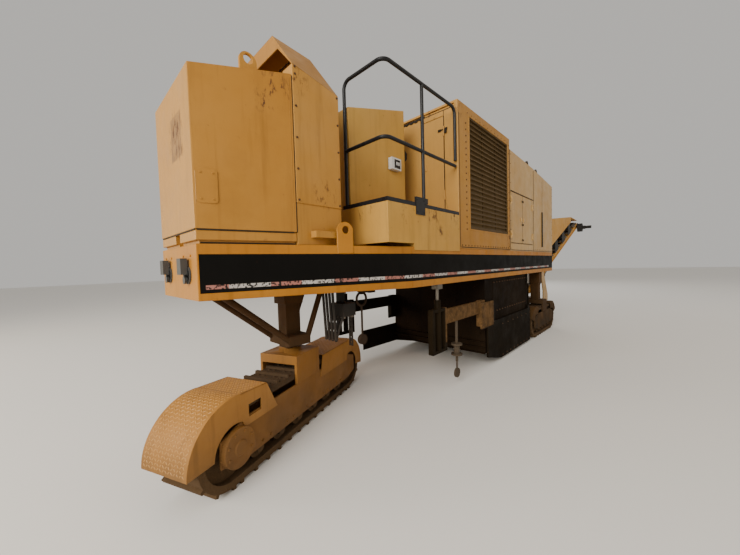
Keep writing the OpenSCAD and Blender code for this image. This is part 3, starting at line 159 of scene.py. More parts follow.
def weathered(name, base, faded, rust=0.5, dust=0.35, rough=0.42, seed=0.0, streaks=0.5, scars=(), metal=0.0,
              ground=1.35, bumpy=0.12, grain=7.0, shine=0.22, grime_colour=(0.085, 0.050, 0.024), front_glare=0.0,
              stains=()):
    """A painted or bare steel surface: faded in patches, streaked by rain, dusty low down and chipped to rust.

    scars are (x, y, z, radius) balls in which the chips crowd together, stains are (centre, half size) boxes in which
    the paint is browned, and the glare amount paints a pale sheen on the faces that look ahead, standing in for the
    sky's glare on them.
    """
    rust_brown, stain_brown, glare_pale = (0.075, 0.030, 0.014), (0.16, 0.085, 0.032), (0.600, 0.360, 0.120)
    material = bpy.data.materials.new(name)
    material.use_nodes = True
    nodes, links = material.node_tree.nodes, material.node_tree.links
    shader = nodes["Principled BSDF"]
    place = nodes.new("ShaderNodeTexCoord").outputs["Object"]

    def scaled(x, y, z):
        return step("Mapping", {"Scale": (x, y, z), "Location": (seed, seed * 0.7, seed * 1.3),
                                "Vector": place}).outputs["Vector"]

    even = scaled(1.0, 1.0, 1.0)
    colour = mixed(ramp(noise(even, 0.9, 5.0), 0.35, 0.68), base, faded)
    colour = mixed(ramp(noise(even, 2.7, 6.0, 0.65), 0.50, 0.74, 0.0, 0.35), colour, tuple(c * 0.72 for c in base))
    runs = ramp(noise(scaled(9.0, 9.0, 0.55), 1.6, 5.0, 0.62), 0.52, 0.78, 0.0, streaks)
    colour = mixed(runs, colour, tuple(c * 0.55 for c in base))
    spot = step("SeparateXYZ", {"Vector": place}).outputs
    caked = ramp(noise(even, 3.2, 6.0, 0.6), 0.25, 0.7, 0.25, dust * 2.0)
    grime = joined("MULTIPLY", ramp(spot["Z"], ground, 0.15), caked)
    colour = mixed(grime, colour, grime_colour)
    # Painted glare: faces that look ahead are paled, standing in for the sky's sheen on them.
    if front_glare:
        facing = step("SeparateXYZ", {"Vector": nodes["Texture Coordinate"].outputs["Normal"]}).outputs["X"]
        colour = mixed(ramp(facing, 0.3, 0.95, 0.0, front_glare), colour, glare_pale)
    for centre, half in stains:
        inside = ramp(noise(even, 11.0, 7.0, 0.7), 0.40, 0.62, 0.38, 0.85)
        for axis in range(3):
            off = joined("ABSOLUTE", joined("SUBTRACT", spot[axis], centre[axis]), 0.0)
            inside = joined("MULTIPLY", inside, ramp(off, half[axis] + 0.008, half[axis] - 0.008))
        colour = mixed(inside, colour, stain_brown)
    chips = joined("MULTIPLY", ramp(noise(even, 14.0, 8.0, 0.72), 0.63, 0.69, 0.0, rust),
                   ramp(noise(even, 1.3, 3.0), 0.45, 0.62))
    for x, y, z, radius in scars:
        away = step("VectorMath", {0: place, 1: (x, y, z)}, operation="DISTANCE").outputs["Value"]
        scratch = ramp(noise(scaled(1.0, 1.0, 0.45), 22.0, 6.0, 0.7), 0.53, 0.60, 0.0, 0.95)
        chips = joined("MAXIMUM", chips, joined("MULTIPLY", ramp(away, radius, radius * 0.25), scratch))
    links.new(mixed(chips, colour, rust_brown), shader.inputs["Base Color"])
    shader.inputs["Metallic"].default_value = metal
    shader.inputs["Specular IOR Level"].default_value = shine
    gloss = joined("ADD", ramp(noise(even, 5.0, 5.0), 0.3, 0.7, rough - 0.07, rough + 0.15),
                   ramp(chips, 0.0, 1.0, 0.0, 0.3))
    links.new(joined("ADD", gloss, ramp(grime, 0.0, 1.0, 0.0, 0.25)), shader.inputs["Roughness"])
    relief(material, noise(even, grain, 6.0), bumpy)
    return material


def recoloured(material, amount, colour):
    """Lays another colour over a material's own, by an amount."""
    base = material.node_tree.nodes["Principled BSDF"].inputs["Base Color"]
    material.node_tree.links.new(mixed(amount, base.links[0].from_socket, colour), base)


def place_in(material):
    return material.node_tree.nodes["Texture Coordinate"].outputs["Object"]


body_of = {node: body for body, nodes in frame["record"]["behaviour"]["bodies"].items() for node in nodes}


def new_piece(name, bm, material, body):
    """A finished mesh that rides on its body: curved faces smooth, corners crisp."""
    for face in bm.faces:
        face.smooth = True
    mesh = bpy.data.meshes.new(name)
    bm.to_mesh(mesh)
    bm.free()
    mesh.set_sharp_from_angle(angle=math.radians(20.0))
    mesh.materials.append(material)
    piece = bpy.data.objects.new(name, mesh)
    bpy.context.collection.objects.link(piece)
    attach(piece, body)
    return piece


def eased(node, material, radius, segments=2):
    """Stands a copy of a CAD node in its place, with the plate's corners rounded as a press or grinder leaves them."""
    bm = bmesh.new()
    bm.from_mesh(frame["nodes"][node].data)
    bmesh.ops.remove_doubles(bm, verts=bm.verts, dist=0.00002)
    bmesh.ops.dissolve_limit(bm, angle_limit=math.radians(0.6), verts=bm.verts, edges=bm.edges)
    bmesh.ops.connect_verts_concave(bm, faces=bm.faces)
    corner = math.radians(30.0)
    sharp = [edge for edge in bm.edges
             if len(edge.link_faces) == 2 and edge.calc_face_angle(0.0) > corner
             and edge.calc_length() > radius * 4.0]
    bmesh.ops.bevel(bm, geom=sharp, offset=radius, offset_type="OFFSET", segments=segments, profile=0.5,
                    affect="EDGES", material=-1, clamp_overlap=False)
    piece = new_piece(node + "_eased", bm, material, body_of[node])
    even = piece.modifiers.new("even_shading", "WEIGHTED_NORMAL")
    even.keep_sharp = True
    even.weight = 100
    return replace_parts(piece, node)


nose_half, frame_half, taper = 0.490, 0.948, 1.996
frame_top = 1.883
stripe_low, stripe_top = 1.518, 1.806


def station(distance):
    """The x of a place that many metres back from the nose face."""
    return nose_x - distance


def side_y(distance):
    """Half the frame's width at a station."""
    return nose_half + (frame_half - nose_half) * min(1.0, distance / taper)


def mirrored(bm):
    """Adds the same shape on the other side of the machine."""
    copy = bmesh.ops.duplicate(bm, geom=bm.verts[:] + bm.edges[:] + bm.faces[:])["geom"]
    bmesh.ops.scale(bm, vec=(1.0, -1.0, 1.0), verts=[g for g in copy if isinstance(g, bmesh.types.BMVert)])
    bmesh.ops.reverse_faces(bm, faces=[g for g in copy if isinstance(g, bmesh.types.BMFace)])


def side_band(bm, reach, lows, tops, off, thick):
    """A thin sheet along the left side from station to station, bent with the taper and standing off the plate."""
    foot = [bm.verts.new((station(d), side_y(d) + off, z)) for d, z in zip(reach, lows)]
    edges = [bm.edges.new(pair) for pair in zip(foot, foot[1:])]
    raised = bmesh.ops.extrude_edge_only(bm, edges=edges)["geom"]
    head = sorted((g for g in raised if isinstance(g, bmesh.types.BMVert)), key=lambda v: -v.co.x)
    for vert, z in zip(head, tops):
        vert.co.z = z
    faces = [g for g in raised if isinstance(g, bmesh.types.BMFace)]
    bmesh.ops.recalc_face_normals(bm, faces=faces)
    bmesh.ops.solidify(bm, geom=faces, thickness=thick)


def bar(bm, low, high, ease=0.0, place=None):
    """A bar between two corners, its edges eased."""
    low, high = Vector(low), Vector(high)
    made = bmesh.ops.create_cube(bm, size=1.0, matrix=Matrix.LocRotScale((low + high) / 2, None, high - low))
    verts = made["verts"]
    if ease:
        edges = list({edge for vert in verts for edge in vert.link_edges})
        rounded = bmesh.ops.bevel(bm, geom=edges, offset=ease, segments=2, profile=0.5, affect="EDGES", material=-1,
                                  clamp_overlap=True)
        verts = list({vert for face in rounded["faces"] for vert in face.verts} | {v for v in verts if v.is_valid})
    if place is not None:
        bmesh.ops.transform(bm, matrix=place, verts=verts)


def side_strips(bm, strips):
    """Bars along or up the left side; each has its rear and front station, foot and top, inner and outer face
    measured from the side plate, and the easing of its edges."""
    for rear, front, foot, top, inner, outer, ease in strips:
        bar(bm, (station(rear), frame_half + inner, foot), (station(front), frame_half + outer, top), ease)


def bolt_heads(bm, start, end, count, outward, radius=0.009, height=0.007, sides=6):
    """A straight row of bolt heads standing on a face that looks outward."""
    outward = Vector(outward)
    turn = outward.to_track_quat("Z", "Y").to_matrix().to_4x4()
    for i in range(count):
        place = Vector(start).lerp(Vector(end), i / max(1, count - 1)) + outward * (height / 2)
        bmesh.ops.create_cone(bm, cap_ends=True, segments=sides, radius1=radius, radius2=radius * 0.8, depth=height,
                              matrix=Matrix.Translation(place) @ turn)


frame_yellow = weathered("frame_yellow", (0.36, 0.133, 0.007), (0.40, 0.165, 0.015), rust=0.7, dust=0.3, seed=1.7,
                         front_glare=0.15)
eased("main_frame", frame_yellow, 0.006)

stripe_black = weathered("stripe_black", (0.0040, 0.0035, 0.0028), (0.0062, 0.0054, 0.0044), rust=0.25, dust=0.15,
                         rough=0.5, seed=4.1, streaks=0.2, ground=1.62, shine=0.07, grime_colour=(0.035, 0.025, 0.015))
stripe_bm = bmesh.new()
side_band(stripe_bm, (0.014, taper, 7.93), (stripe_low, 1.505, 1.505), (stripe_top,) * 3, 0.0014, 0.0012)
mirrored(stripe_bm)
new_piece("side_stripes", stripe_bm, stripe_black, "chassis")

worn_tape = weathered("worn_tape", (0.50, 0.47, 0.44), (0.36, 0.31, 0.28), rust=0.9, dust=0.5, rough=0.3, seed=6.6)
along_tape = step("SeparateXYZ", {"Vector": place_in(worn_tape)}).outputs["X"]
red_blocks = ramp(joined("PINGPONG", along_tape, 0.28), 0.15, 0.155)
recoloured(worn_tape, red_blocks, (0.34, 0.14, 0.11))
scuffs = ramp(noise(place_in(worn_tape), 55.0, 6.0, 0.5), 0.53, 0.57)
recoloured(worn_tape, scuffs, (0.011, 0.010, 0.009))
tape_bm = bmesh.new()
side_band(tape_bm, (0.05, taper, 7.6), (1.545, 1.539, 1.539), (1.577, 1.571, 1.571), 0.0022, 0.0007)
mirrored(tape_bm)
new_piece("reflective_tape", tape_bm, worn_tape, "chassis")

lamp_sides, ahead = (-0.27, 0.27), (1.0, 0.0, 0.0)
weld_bm = bmesh.new()
for distance in (taper, 3.96, 6.15):
    side_strips(weld_bm, [(distance + 0.004, distance - 0.004, foot, top, 0.0, 0.003, 0.0012)
                          for foot, top in ((stripe_top + 0.002, frame_top - 0.004), (1.436, 1.503))])
mirrored(weld_bm)
for y in lamp_sides:
    bolt_heads(weld_bm, (nose_x, y - 0.09, 1.80), (nose_x, y + 0.09, 1.80), 2, ahead, 0.010, 0.008)
new_piece("frame_welds", weld_bm, frame_yellow, "chassis")


# Nose cabinet
# Folded sheet steel over the nose, its roof rising to the rear, with a bolted access cover low on each side.
# The paint is the least worn on the machine apart from scratches by the roof's edge and stains on the nose face.
taper_turn = math.atan2(frame_half - nose_half, taper)
# local x runs forward along the left taper from the nose corner, y outward and z up
taper_side = Matrix((
    (math.cos(taper_turn), math.sin(taper_turn), 0.0, nose_x),
    (-math.sin(taper_turn), math.cos(taper_turn), 0.0, nose_half),
    (0.0, 0.0, 1.0, 0.0),
    (0.0, 0.0, 0.0, 1.0),
))

cabinet_yellow = weathered(
    "cabinet_yellow", (0.335, 0.143, 0.0185), (0.37, 0.172, 0.030), rust=0.45, dust=0.2, rough=0.36, seed=2.3,
    front_glare=0.27, stains=(((nose_x, 0.14, 2.74), (0.05, 0.14, 0.17)),),
    scars=((nose_x - 0.60, 0.625, 3.15, 0.19), (nose_x - 0.52, 0.61, 3.02, 0.11), (nose_x, 0.13, 2.76, 0.24),
           (nose_x, 0.20, 2.62, 0.15)))
eased("nose_cabinet", cabinet_yellow, 0.006)
cabinet_bm = bmesh.new()
cover_s, cover_low, cover_w, cover_h, inset, cover_face = 0.0205, 2.180, 0.142, 0.250, 0.03, 0.0062
for z in (inset, cover_h - inset):
    for along in (inset, cover_w - inset):
        place = taper_side @ Vector((-cover_s - along, cover_face, cover_low + z))
        bolt_heads(cabinet_bm, place, place, 1, taper_side.to_3x3() @ Vector((0.0, 1.0, 0.0)), 0.0075, 0.005, 8)
bar(cabinet_bm, (-0.739, 0.0005, 2.01), (-0.731, 0.0022, 3.28), 0.0008, taper_side)
mirrored(cabinet_bm)
new_piece("cabinet_fasteners", cabinet_bm, cabinet_yellow, "chassis")


# Cooler housing and air scoop
# The housing's side panels are bolted on all round. The scoop over it is one folded sheet, open to the nose,
# with a wire guard a little way inside its mouth. Dark bars are painted shadow in the gaps that part the nose cabinet
# from the housing and the frame, and under the cabinet's base trim.
cooler_low, cooler_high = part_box("cooler_housing")
cooler_s0, cooler_s1 = nose_x - cooler_high.x, nose_x - cooler_low.x
cooler_half = 0.662
cooler_yellow = weathered("cooler_yellow", (0.385, 0.175, 0.025), (0.42, 0.208, 0.040), rust=0.6, dust=0.2, rough=0.4,
                          seed=8.8, front_glare=0.15,
                          scars=((station(0.80), 0.66, 3.28, 0.14), (station(1.05), 0.66, 2.35, 0.16)))
eased("cooler_housing", cooler_yellow, 0.005)
scoop_yellow = weathered("scoop_yellow", (0.325, 0.150, 0.028), (0.355, 0.178, 0.044), rust=0.6, dust=0.2, rough=0.45,
                         seed=9.1)
eased("air_scoop", scoop_yellow, 0.003, segments=1)


def side_bolts(bm, y, rows):
    """Rows of bolts on a face that looks to the side; each has the station and height of its ends, the number of
    bolts, and the radius and height of a head."""
    outward = (0.0, math.copysign(1.0, y), 0.0)
    for first, z_first, last, z_last, count, radius, height in rows:
        bolt_heads(bm, (station(first), y, z_first), (station(last), y, z_last), count, outward, radius, height)


bolt_rust = weathered("bolt_rust", (0.050, 0.024, 0.010), (0.085, 0.040, 0.016), rust=0.6, dust=0.3, rough=0.6,
                      seed=7.3)
panel_front, panel_rear, panel_foot = cooler_s0 + 0.024, cooler_s1 - 0.020, 2.272
cooler_bm = bmesh.new()
side_bolts(cooler_bm, cooler_half, (
    (panel_front, panel_foot, panel_front, 3.326, 5, 0.0115, 0.007),
    (panel_rear, panel_foot, panel_rear, 3.290, 5, 0.0115, 0.007),
    (panel_front, 3.388, panel_front, 3.388, 1, 0.0115, 0.007)))
mirrored(cooler_bm)
new_piece("cooler_bolts", cooler_bm, bolt_rust, "chassis")

seam_and_shadow_black = weathered("seam_and_shadow_black", (0.020, 0.014, 0.008), (0.032, 0.022, 0.012), rust=0.4, dust=0.3, rough=0.7,
                       seed=9.9)
wire, upright_x, level_x = 0.003, station(0.93), station(0.932)
guard_bm = bmesh.new()
for y in [i * 0.055 for i in range(-6, 7)]:
    bar(guard_bm, (upright_x - wire, y - wire, 3.40), (upright_x + wire, y + wire, 3.66))
for z in (3.45, 3.50, 3.55, 3.60, 3.65):
    bar(guard_bm, (level_x - wire, -0.36, z - wire), (level_x + wire, 0.36, z + wire))
new_piece("scoop_guard", guard_bm, seam_and_shadow_black, "chassis")
# Painted shadow: thin dark bars fill the gaps at the cabinet's foot and rear and the groove under its base trim.
foot_gap_low, foot_gap_top = 1.9832, 1.9928
gap_shadow_bm = bmesh.new()
bar(gap_shadow_bm, (station(0.7478), 0.600, 1.990), (station(0.7402), 0.6575, 3.300))
bar(gap_shadow_bm, (-0.7350, -0.0130, foot_gap_low), (-0.0120, -0.0020, foot_gap_top), 0.0, taper_side)
bar(gap_shadow_bm, (-0.7480, -0.0310, 1.8840), (-0.0310, -0.0270, 1.8980), 0.0, taper_side)
mirrored(gap_shadow_bm)
bar(gap_shadow_bm, (nose_x - 0.013, -0.470, foot_gap_low), (nose_x - 0.002, 0.470, foot_gap_top))
new_piece("cabinet_gap_shadows", gap_shadow_bm, seam_and_shadow_black, "chassis")


# Operator's platform
# A skirted deck of folded sheet that overhangs the frame, covered with raised tread plate. Boots and weather have
# taken the paint off the tread and its edges.
deck_front, _, deck_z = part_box("operator_platform")[1]
platform_yellow = weathered(
    "platform_yellow", (0.455, 0.236, 0.042), (0.49, 0.280, 0.062), rust=0.85, dust=0.3, rough=0.45, seed=12.5,
    front_glare=0.12,
    scars=((deck_front, 0.62, 2.29, 0.16), (deck_front - 0.3, 0.955, 2.27, 0.13), (station(2.42), 0.95, 2.25, 0.17),
           (station(2.58), 0.95, 2.08, 0.10), (station(2.93), 0.95, 2.31, 0.15)))
eased("operator_platform", platform_yellow, 0.004)


def tread_bumps(bm, rows, columns, spot):
    """Raised lozenges in alternate directions; spot(row, column) gives a place, the way up and the way along."""
    for row in range(rows):
        for column in range(columns):
            place, up, along = spot(row, column)
            along = along if (row + column) % 2 else up.cross(along)
            turn = Matrix((along, up.cross(along), up)).transposed().to_4x4()
            shape = Matrix.Diagonal((0.0145, 0.0055, 0.0026, 1.0))
            bmesh.ops.create_cone(bm, cap_ends=True, segments=6, radius1=1.0, radius2=0.45, depth=1.0,
                                  matrix=Matrix.Translation(place) @ turn @ shape)


tread_pitch = 0.0385
tread_bm = bmesh.new()
for side in (-1.0, 1.0):
    tread_bumps(tread_bm, 36, 13, lambda i, j: (
        Vector((deck_front - 0.05 - i * tread_pitch, side * (0.40 + j * tread_pitch), deck_z + 0.001)),
        Vector((0.0, 0.0, 1.0)), Vector((0.7071, 0.7071, 0.0))))
new_piece("deck_tread", tread_bm, platform_yellow, "chassis")


# Hand rails
# Bent steel tube in black enamel, clamped to the toe boards, with a bolted socket under the middle post.
def finished(node, material):
    """Gives a CAD node its material."""
    for place in frame["nodes"][node].material_slots:
        place.material = material


rail_black = weathered("rail_black", (0.010, 0.010, 0.011), (0.018, 0.017, 0.016), rust=0.5, dust=0.2, rough=0.3,
                       seed=14.2)
finished("hand_rails", rail_black)
toe_board_face = 0.964
rail_bm = bmesh.new()
side_bolts(rail_bm, toe_board_face, [(distance, z, distance, z, 1, 0.009, 0.007) for distance in (2.225, 2.095)
                                     for z in (deck_z - 0.06, deck_z + 0.075)])
mirrored(rail_bm)
new_piece("rail_bolts", rail_bm, rail_black, "chassis")


# Housing between the walkways
# A tall sheet-steel box with a sloping lid. A grey-white switch box with a dark face and two rocker switches
# stands on each side.
eased("platform_housing", platform_yellow, 0.006)
box_front, box_rear = station(2.347), station(2.537)
box_low, box_top, box_y = deck_z + 0.600, deck_z + 0.750, 0.410
switch_bm = bmesh.new()
bar(switch_bm, (box_rear + 0.022, box_y - 0.001, box_low + 0.02),
    (box_front - 0.05, box_y + 0.004, box_top - 0.02), 0.002)
mirrored(switch_bm)
new_piece("switch_faces", switch_bm, rail_black, "chassis")
enamel_white = weathered("enamel_white", (0.58, 0.57, 0.54), (0.50, 0.48, 0.44), rust=0.3, dust=0.3, rough=0.35,
                         seed=15.0)
rocker_bm = bmesh.new()
for x in (box_rear + 0.045, box_rear + 0.085):
    bar(rocker_bm, (x, box_y + 0.003, box_low + 0.055), (x + 0.022, box_y + 0.010, box_low + 0.100), 0.003)
mirrored(rocker_bm)
new_piece("rocker_switches", rocker_bm, enamel_white, "chassis")
foot_z, housing_face = deck_z + 0.06, 0.35
foot_bm = bmesh.new()
side_bolts(foot_bm, housing_face, ((1.75, foot_z, 2.62, foot_z, 6, 0.008, 0.005),))
mirrored(foot_bm)
new_piece("housing_bolts", foot_bm, platform_yellow, "chassis")


# Operator's console
# A sloped panel of folded sheet behind the housing, painted black, with a row of ball-topped levers and four
# round gauges in steel bezels.
dark_iron = weathered("dark_iron", (0.020, 0.018, 0.016), (0.034, 0.030, 0.025), rust=0.5, dust=0.5, rough=0.6,
                      seed=17.0)
finished("control_console", dark_iron)
console_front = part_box("control_console")[1].x
gauge_bm = bmesh.new()
for y in (-0.17, -0.06, 0.06, 0.17):
    place = (Matrix.Translation((console_front - 0.035, y, deck_z + 1.063))
             @ Matrix.Rotation(math.radians(-32.0), 4, "Y"))
    ring = bmesh.ops.create_cone(gauge_bm, cap_ends=True, segments=24, radius1=0.030, radius2=0.028, depth=0.014,
                                 matrix=place)
    face = max((f for v in ring["verts"] for f in v.link_faces), key=lambda f: f.calc_center_median().z)
    bmesh.ops.inset_individual(gauge_bm, faces=[face], thickness=0.004, depth=-0.003)
new_piece("gauges", gauge_bm, enamel_white, "chassis")


# Radiator housing
# A welded box across the machine with a framed opening for the louvres on each side, bolted seams and a hinged
# door at the front. Rows of rusting bolts follow the seams, and a worn black seal hangs from the roof's front edge.
rad_front = station(3.080)
radiator_yellow = weathered(
    "radiator_yellow", (0.345, 0.154, 0.019), (0.385, 0.188, 0.032), rust=0.8, dust=0.25, rough=0.42, seed=19.7,
    front_glare=0.3,
    scars=((rad_front, 0.55, 3.80, 0.12), (station(4.97), 0.95, 2.1, 0.16), (station(3.14), 0.95, 3.75, 0.12)))
eased("radiator_housing", radiator_yellow, 0.008)
eased("front_door", radiator_yellow, 0.004)
radiator_bm = bmesh.new()
side_bolts(radiator_bm, frame_half, (
    (3.31, 2.16, 3.31, 3.62, 18, 0.0125, 0.006), (4.950, 1.96, 4.950, 3.74, 14, 0.010, 0.005),
    (3.16, 1.932, 4.90, 1.932, 19, 0.0120, 0.006), (3.36, 3.775, 4.88, 3.775, 12, 0.008, 0.005)))
mirrored(radiator_bm)
new_piece("radiator_bolts", radiator_bm, bolt_rust, "chassis")
seam_bm = bmesh.new()
side_strips(seam_bm, (
    (3.119, 3.105, 1.900, 3.700, -0.0002, 0.0008, 0.0), (5.012, 4.988, 1.895, 3.690, -0.0002, 0.0010, 0.0),
    (4.975, 3.135, 1.900, 1.912, -0.0002, 0.0008, 0.0)))
mirrored(seam_bm)
seam_low, seam_top = 3.786, 3.797
bar(seam_bm, (rad_front - 0.0004, -0.86, seam_low), (rad_front + 0.0014, 0.90, seam_top))
bar(seam_bm, (rad_front - 0.0004, 0.736, 2.37), (rad_front + 0.0014, 0.744, seam_low))
for i, drop in enumerate((0.012, 0.020, 0.009, 0.024, 0.015, 0.026, 0.012, 0.018, 0.010)):
    y = 0.06 + i * 0.042
    bar(seam_bm, (rad_front - 0.001, y, seam_top - drop), (rad_front + 0.014, y + 0.044, seam_top + 0.015), 0.004)
for y in (0.675, 0.775):
    bar(seam_bm, (rad_front - 0.001, y - 0.022, 3.512), (rad_front + 0.010, y + 0.022, 3.548), 0.003)
bar(seam_bm, (rad_front + 0.008, 0.66, 3.522), (rad_front + 0.016, 0.79, 3.538), 0.002)
bar(seam_bm, (rad_front + 0.010, 0.755, 3.470), (rad_front + 0.026, 0.795, 3.520), 0.006)
new_piece("radiator_seams", seam_bm, seam_and_shadow_black, "chassis")
trim_bm = bmesh.new()
open_front, open_rear, open_low, open_top, trim_w = 3.42, 4.90, 2.170, 3.740, 0.022
side_strips(trim_bm, [(rear, front, foot, top, 0.0, 0.004, 0.0015) for rear, front, foot, top in (
    (open_rear + trim_w, open_front - trim_w, open_low - trim_w, open_low),
    (open_rear + trim_w, open_front - trim_w, open_top, open_top + trim_w),
    (open_rear + trim_w, open_rear, open_low, open_top), (open_front, open_front - trim_w, open_low, open_top))])
mirrored(trim_bm)
bar(trim_bm, (rad_front, -0.90, 3.822), (rad_front + 0.028, 0.90, 3.832), 0.002)
new_piece("louvre_trim", trim_bm, radiator_yellow, "chassis")


# Louvres and radiator core
# Brown-painted steel blades, caked with dust, in front of a finned core. Two stiffening bars hold the blades.
louvre_brown = weathered("louvre_brown", (0.066, 0.037, 0.010), (0.088, 0.052, 0.015), rust=0.7, dust=0.5,
                         rough=0.55, seed=21.0)
finished("louvre_grilles", louvre_brown)
blade_bm = bmesh.new()
side_strips(blade_bm, [(middle + 0.006, middle - 0.006, 2.20, 3.71, -0.036, -0.028, 0.001)
                       for middle in (3.915, 4.405)])
mirrored(blade_bm)
new_piece("louvre_bars", blade_bm, louvre_brown, "chassis")
backing_bm = bmesh.new()
side_strips(backing_bm, (
    (open_rear - 0.026, open_front + 0.026, open_low + 0.022, open_top - 0.022, -0.0375, -0.0355, 0.0),))
mirrored(backing_bm)
screen_brown = weathered("screen_brown", (0.085, 0.050, 0.016), (0.110, 0.068, 0.024), rust=0.4, dust=0.6, rough=0.8,
                         seed=21.5, bumpy=0.4, grain=60.0)
new_piece("louvre_screens", backing_bm, screen_brown, "chassis")
# Painted highlight: pale strips along the blades' front edges stand in for the light that they catch.
lip_highlight_bm = bmesh.new()
blades = 22
for i in range(blades):
    z = open_low + 0.0227 + i * (open_top - open_low - 0.0406) / blades
    side_strips(lip_highlight_bm, ((open_rear - 0.024, open_front + 0.024, z - 0.001, z + 0.004, -0.0092, -0.0070, 0.0),))
mirrored(lip_highlight_bm)
lip_highlight = weathered("lip_highlight", (0.26, 0.145, 0.044), (0.20, 0.110, 0.034), rust=0.8, dust=0.4, rough=0.5, seed=21.8)
new_piece("blade_lip_highlights", lip_highlight_bm, lip_highlight, "chassis")

core_metal = weathered("core_fins", (0.020, 0.017, 0.013), (0.035, 0.028, 0.020), rust=0.4, dust=0.6, rough=0.8,
                       seed=22.0)
upright_fins = step("TexWave", {"Scale": 40.0, "Vector": place_in(core_metal)}, bands_direction="X")
relief(core_metal, upright_fins.outputs["Fac"], 0.6)
finished("radiator_core", core_metal)


# Rear hood and its doors
# Sheet steel over the engine, sloping down to the rear, with a pair of hinged doors on each side. The doors have
# recessed paddle latches, and rubber seals show as dark lines around them.
hood_yellow = weathered("hood_yellow", (0.44, 0.250, 0.066), (0.48, 0.300, 0.105), rust=0.6, dust=0.3, rough=0.36,
                        seed=24.4, front_glare=0.1, shine=0.5)
eased("rear_hood", hood_yellow, 0.006)
for door in ("left_door_front", "left_door_rear", "right_door_front", "right_door_rear"):
    eased(door, hood_yellow, 0.003)
hood_bm = bmesh.new()
side_bolts(hood_bm, frame_half, (
    (5.04, 1.93, 5.04, 3.62, 11, 0.008, 0.005), (6.42, 1.93, 7.88, 1.93, 12, 0.008, 0.005),
    (7.91, 1.98, 7.91, 3.44, 10, 0.008, 0.005)))
mirrored(hood_bm)
new_piece("hood_bolts", hood_bm, bolt_rust, "chassis")
seal_bm = bmesh.new()
side_strips(seal_bm, (
    (6.420, 6.396, 1.90, 3.60, 0.0, 0.0010, 0.0), (7.912, 5.030, 1.896, 1.908, 0.0, 0.0008, 0.0),
    (6.396, 5.030, 2.9645, 2.9835, 0.0, 0.0010, 0.0), (6.340, 5.040, 2.023, 2.030, 0.0, 0.0008, 0.0),
    (7.072, 7.064, 2.80, 3.50, 0.0, 0.0008, 0.0), (7.062, 6.998, 1.998, 2.788, 0.0, 0.0175, 0.003)))
mirrored(seal_bm)
hood_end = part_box("rear_hood")[0].x
for z in (2.30, 2.55, 2.80, 3.05):
    bar(seal_bm, (hood_end - 0.004, -0.42, z), (hood_end + 0.0005, 0.42, z + 0.12), 0.002)
new_piece("hood_seams", seal_bm, seam_and_shadow_black, "chassis")
for door, edge in (("left_door_front", 5.660), ("left_door_rear", 5.724), ("right_door_front", 5.660),
                   ("right_door_rear", 5.724)):
    paddle_bm = bmesh.new()
    side_strips(paddle_bm, [(edge + 0.014, edge - 0.014, z - 0.020, z + 0.020, -0.0005, 0.009, 0.003)
                            for z in (2.10, 2.40, 2.85)])
    if door.endswith("front"):
        side_strips(paddle_bm, ((5.6925, 5.683, 2.042, 2.954, -0.0002, 0.0012, 0.0),))
    if door.startswith("right"):
        bmesh.ops.scale(paddle_bm, vec=(1.0, -1.0, 1.0), verts=paddle_bm.verts)
        bmesh.ops.reverse_faces(paddle_bm, faces=paddle_bm.faces)
    new_piece(door + "_latches", paddle_bm, seam_and_shadow_black, door)


# Engine, lugs and exhaust
# Cast and painted steel, oily on the engine and burnt on the exhaust. The lugs are cut from
# plate and welded to the roofs; those on the hood are darker with age.
def behind(material, distance, colour):
    """Turns a material to another colour on what stands behind a station."""
    along = step("SeparateXYZ", {"Vector": place_in(material)}).outputs["X"]
    recoloured(material, ramp(along, station(distance) + 0.05, station(distance) - 0.05), colour)


lug_yellow = weathered("lug_yellow", (0.40, 0.175, 0.022), (0.44, 0.21, 0.035), rust=0.8, dust=0.3, rough=0.5,
                       seed=24.9)
behind(lug_yellow, 4.0, (0.060, 0.040, 0.024))
finished("engine_block", dark_iron)
finished("lifting_lugs", lug_yellow)
burnt_steel = weathered("burnt_steel", (0.075, 0.034, 0.017), (0.12, 0.058, 0.030), rust=0.9, dust=0.5, rough=0.8,
                        seed=25.0)
finished("exhaust_stub", burnt_steel)


# Lamps and horns
# Square work lamps with a ribbed lens in a grey bezel, and a round horn with a slotted cover behind each.
lamp_grey = weathered("lamp_grey", (0.060, 0.060, 0.056), (0.085, 0.082, 0.075), rust=0.4, dust=0.4, rough=0.4,
                      seed=28.0)
behind(lamp_grey, 1.25, (0.56, 0.55, 0.52))
finished("work_lamps", lamp_grey)
lens_bm = bmesh.new()
horn_bm = bmesh.new()
lamp_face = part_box("work_lamps")[1].x
for y in lamp_sides:
    for i in range(6):
        rib = y - 0.042 + i * 0.014
        bar(lens_bm, (lamp_face - 0.004, rib, 1.671), (lamp_face - 0.0001, rib + 0.012, 1.771), 0.003)
    facing = Matrix.Translation((nose_x + 0.0125, y + 0.018, 1.655)) @ Matrix.Rotation(math.pi / 2, 4, "Y")
    for radius in (0.058, 0.044, 0.030):
        ring = bmesh.ops.create_circle(horn_bm, segments=32, radius=radius, matrix=facing)["verts"]
        edges = list({edge for vert in ring for edge in vert.link_edges})
        raised = bmesh.ops.extrude_edge_only(horn_bm, edges=edges)["geom"]
        rim = [g for g in raised if isinstance(g, bmesh.types.BMVert)]
        bmesh.ops.translate(horn_bm, vec=(0.004, 0.0, 0.0), verts=rim)
        walls = [g for g in raised if isinstance(g, bmesh.types.BMFace)]
        bmesh.ops.recalc_face_normals(horn_bm, faces=walls)
        bmesh.ops.solidify(horn_bm, geom=walls, thickness=0.003)
lamp_lens = weathered("lamp_lens", (0.30, 0.30, 0.29), (0.42, 0.41, 0.38), rust=0.1, dust=0.4, rough=0.12, seed=27.0,
                      shine=0.6)
new_piece("lamp_lenses", lens_bm, lamp_lens, "chassis")
new_piece("horn_covers", horn_bm, rail_black, "chassis")
